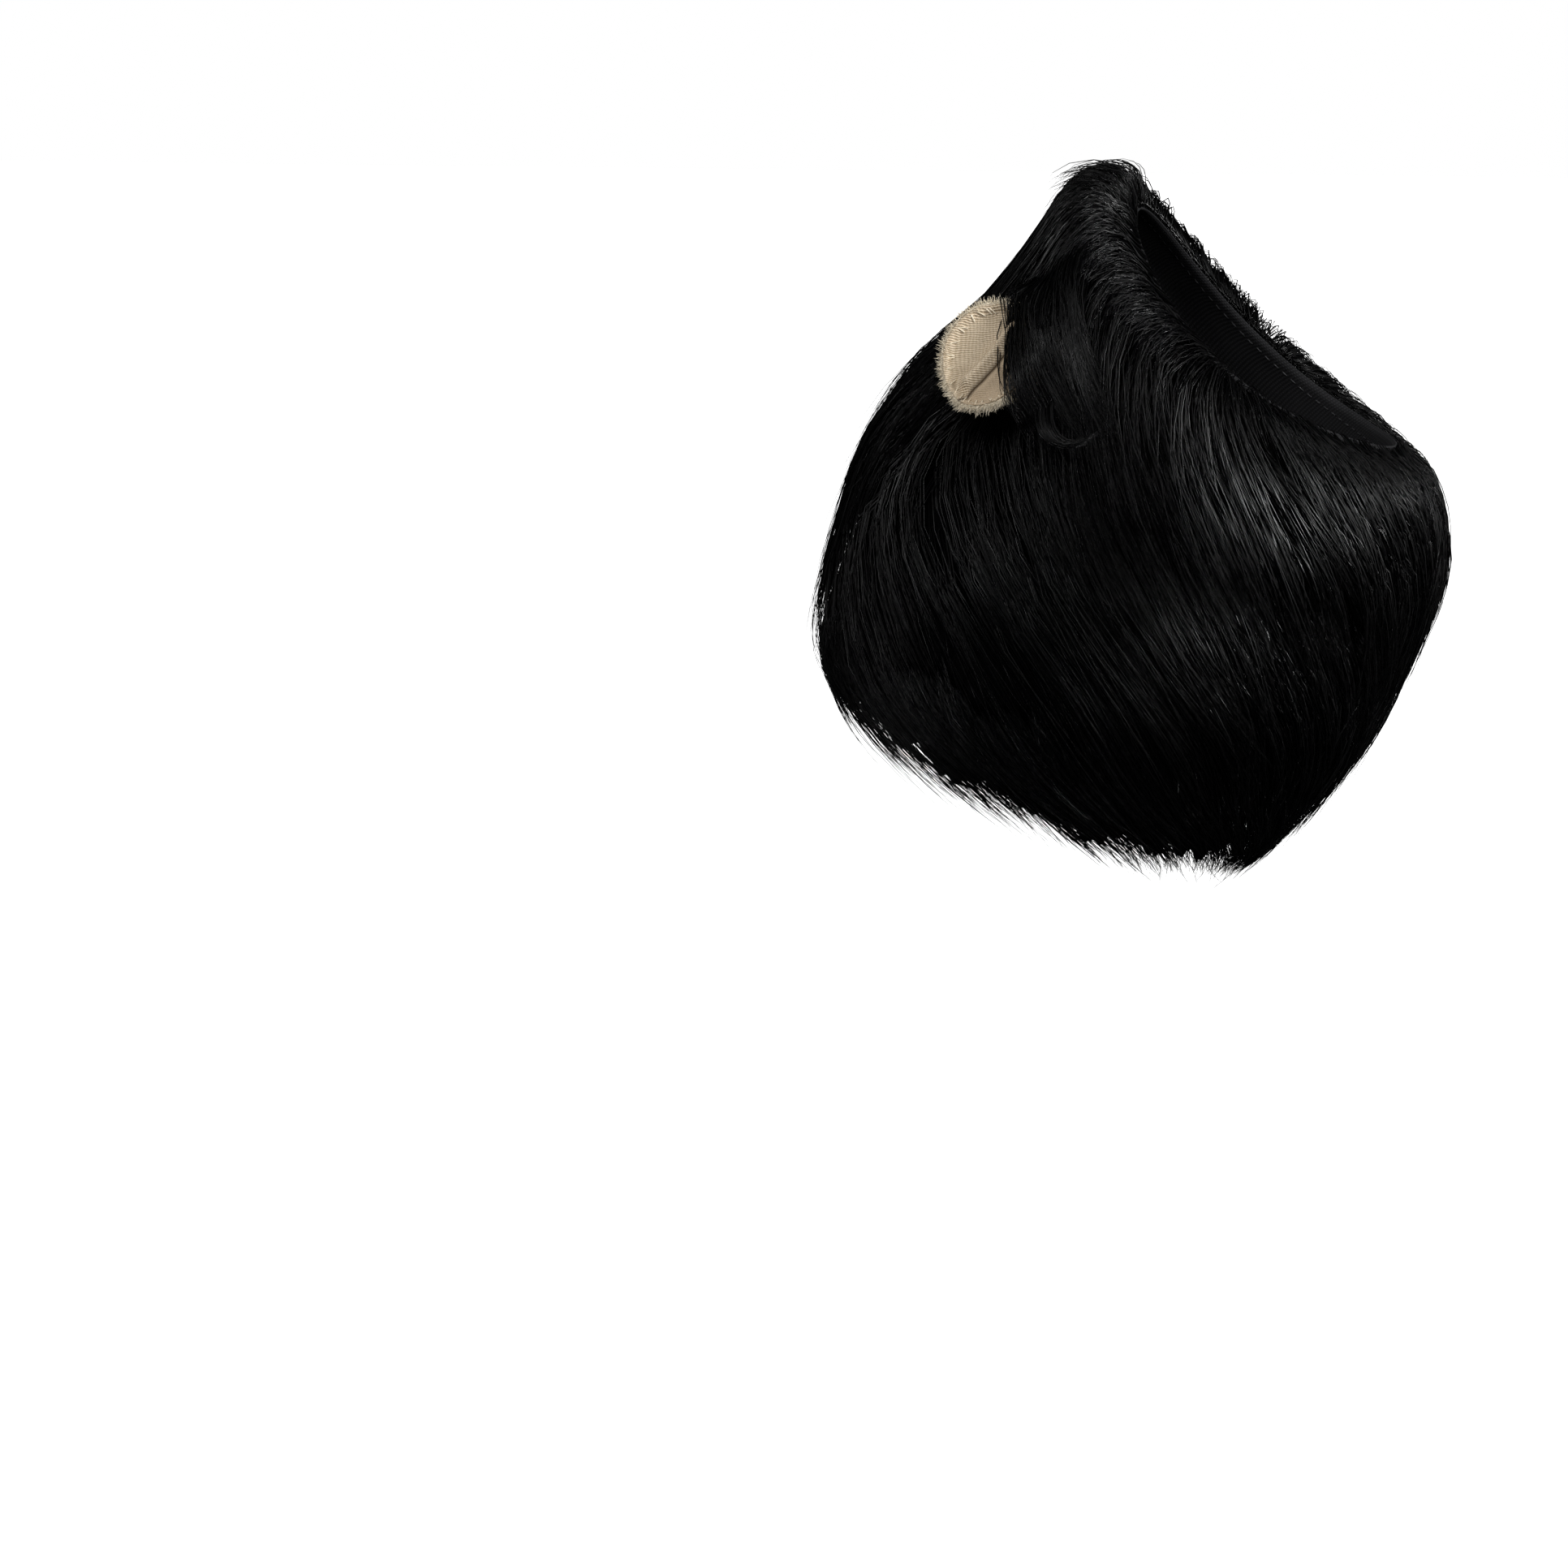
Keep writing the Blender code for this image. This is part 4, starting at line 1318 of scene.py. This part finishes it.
class MANE_OT_fur(bpy.types.Operator):
    """Makes the three tiers of long fur and the short hairs round the face"""
    bl_idname = "mane.fur"
    bl_label = "Fur"

    def execute(self, context):
        settings = context.scene.mane_fur
        colour = tuple(settings.strand_colour)
        pile = pile_material(settings)
        hair = strand_material(
            "black fur strands", (0.0004, 0.0004, 0.0005), colour,
            tuple(value * 1.5 for value in colour), 0.41, 0.42,
        )
        counts = {
            "crown": settings.crown_strands, "ruff": settings.ruff_strands, "cape": settings.cape_strands,
        }
        for tier in TIERS:
            make_pile(tier, pile)
            make_strands(tier, counts[tier.name], settings.strand_width, hair)
        make_loose_hairs(settings.loose_hairs, settings.strand_width, hair)
        make_rim_hairs(settings.rim_hairs, settings.strand_width, hair)
        make_forelock(settings.forelock_hairs, settings.strand_width, hair)
        for side_name, side in (("right", -1.0), ("left", 1.0)):
            make_ear_hairs(side_name, side, settings.ear_hairs, settings.strand_width, hair)
        return {"FINISHED"}


class MANE_OT_ears(bpy.types.Operator):
    """Makes both ears: plush shell, fluff and ribbed lining"""
    bl_idname = "mane.ears"
    bl_label = "Ears"

    def execute(self, context):
        settings = context.scene.mane_ears
        plush = plush_material(settings)
        ribbed = ribbed_material(settings)
        light = tuple(min(1.0, value * 1.12) for value in settings.plush_colour)
        dark = tuple(value * 0.72 for value in settings.plush_colour)
        fluff = strand_material("cream plush fluff", dark, light, light, 0.75, 0.2)
        for side_name, side in (("right", -1.0), ("left", 1.0)):
            make_ear(settings, side_name, side, plush, ribbed, fluff)
        return {"FINISHED"}


class MANE_PT_panel(bpy.types.Panel):
    """The mane's settings and steps"""
    bl_idname = "MANE_PT_panel"
    bl_label = "Lion mane wig"
    bl_space_type = "VIEW_3D"
    bl_region_type = "UI"
    bl_category = "Mane"

    def draw(self, context):
        steps = (
            ("mane.stage", "mane_stage"), ("mane.hood", "mane_hood"),
            ("mane.fur", "mane_fur"), ("mane.ears", "mane_ears"),
        )
        for step, group in steps:
            box = self.layout.box()
            settings = getattr(context.scene, group)
            for name in settings.__annotations__:
                box.prop(settings, name)
            box.operator(step)


CLASSES = (
    ManeHoodSettings, ManeFurSettings, ManeEarSettings, ManeStageSettings,
    MANE_OT_stage, MANE_OT_hood, MANE_OT_fur, MANE_OT_ears, MANE_PT_panel,
)
GROUPS = {
    "mane_hood": ManeHoodSettings,
    "mane_fur": ManeFurSettings,
    "mane_ears": ManeEarSettings,
    "mane_stage": ManeStageSettings,
}


def register():
    for made in CLASSES:
        bpy.utils.register_class(made)
    for name, group in GROUPS.items():
        setattr(bpy.types.Scene, name, bpy.props.PointerProperty(type=group))


def unregister():
    for name in GROUPS:
        delattr(bpy.types.Scene, name)
    for made in reversed(CLASSES):
        bpy.utils.unregister_class(made)


def main():
    register()
    bpy.ops.mane.stage()
    bpy.ops.mane.hood()
    bpy.ops.mane.fur()
    bpy.ops.mane.ears()


if __name__ == "__main__":
    main()
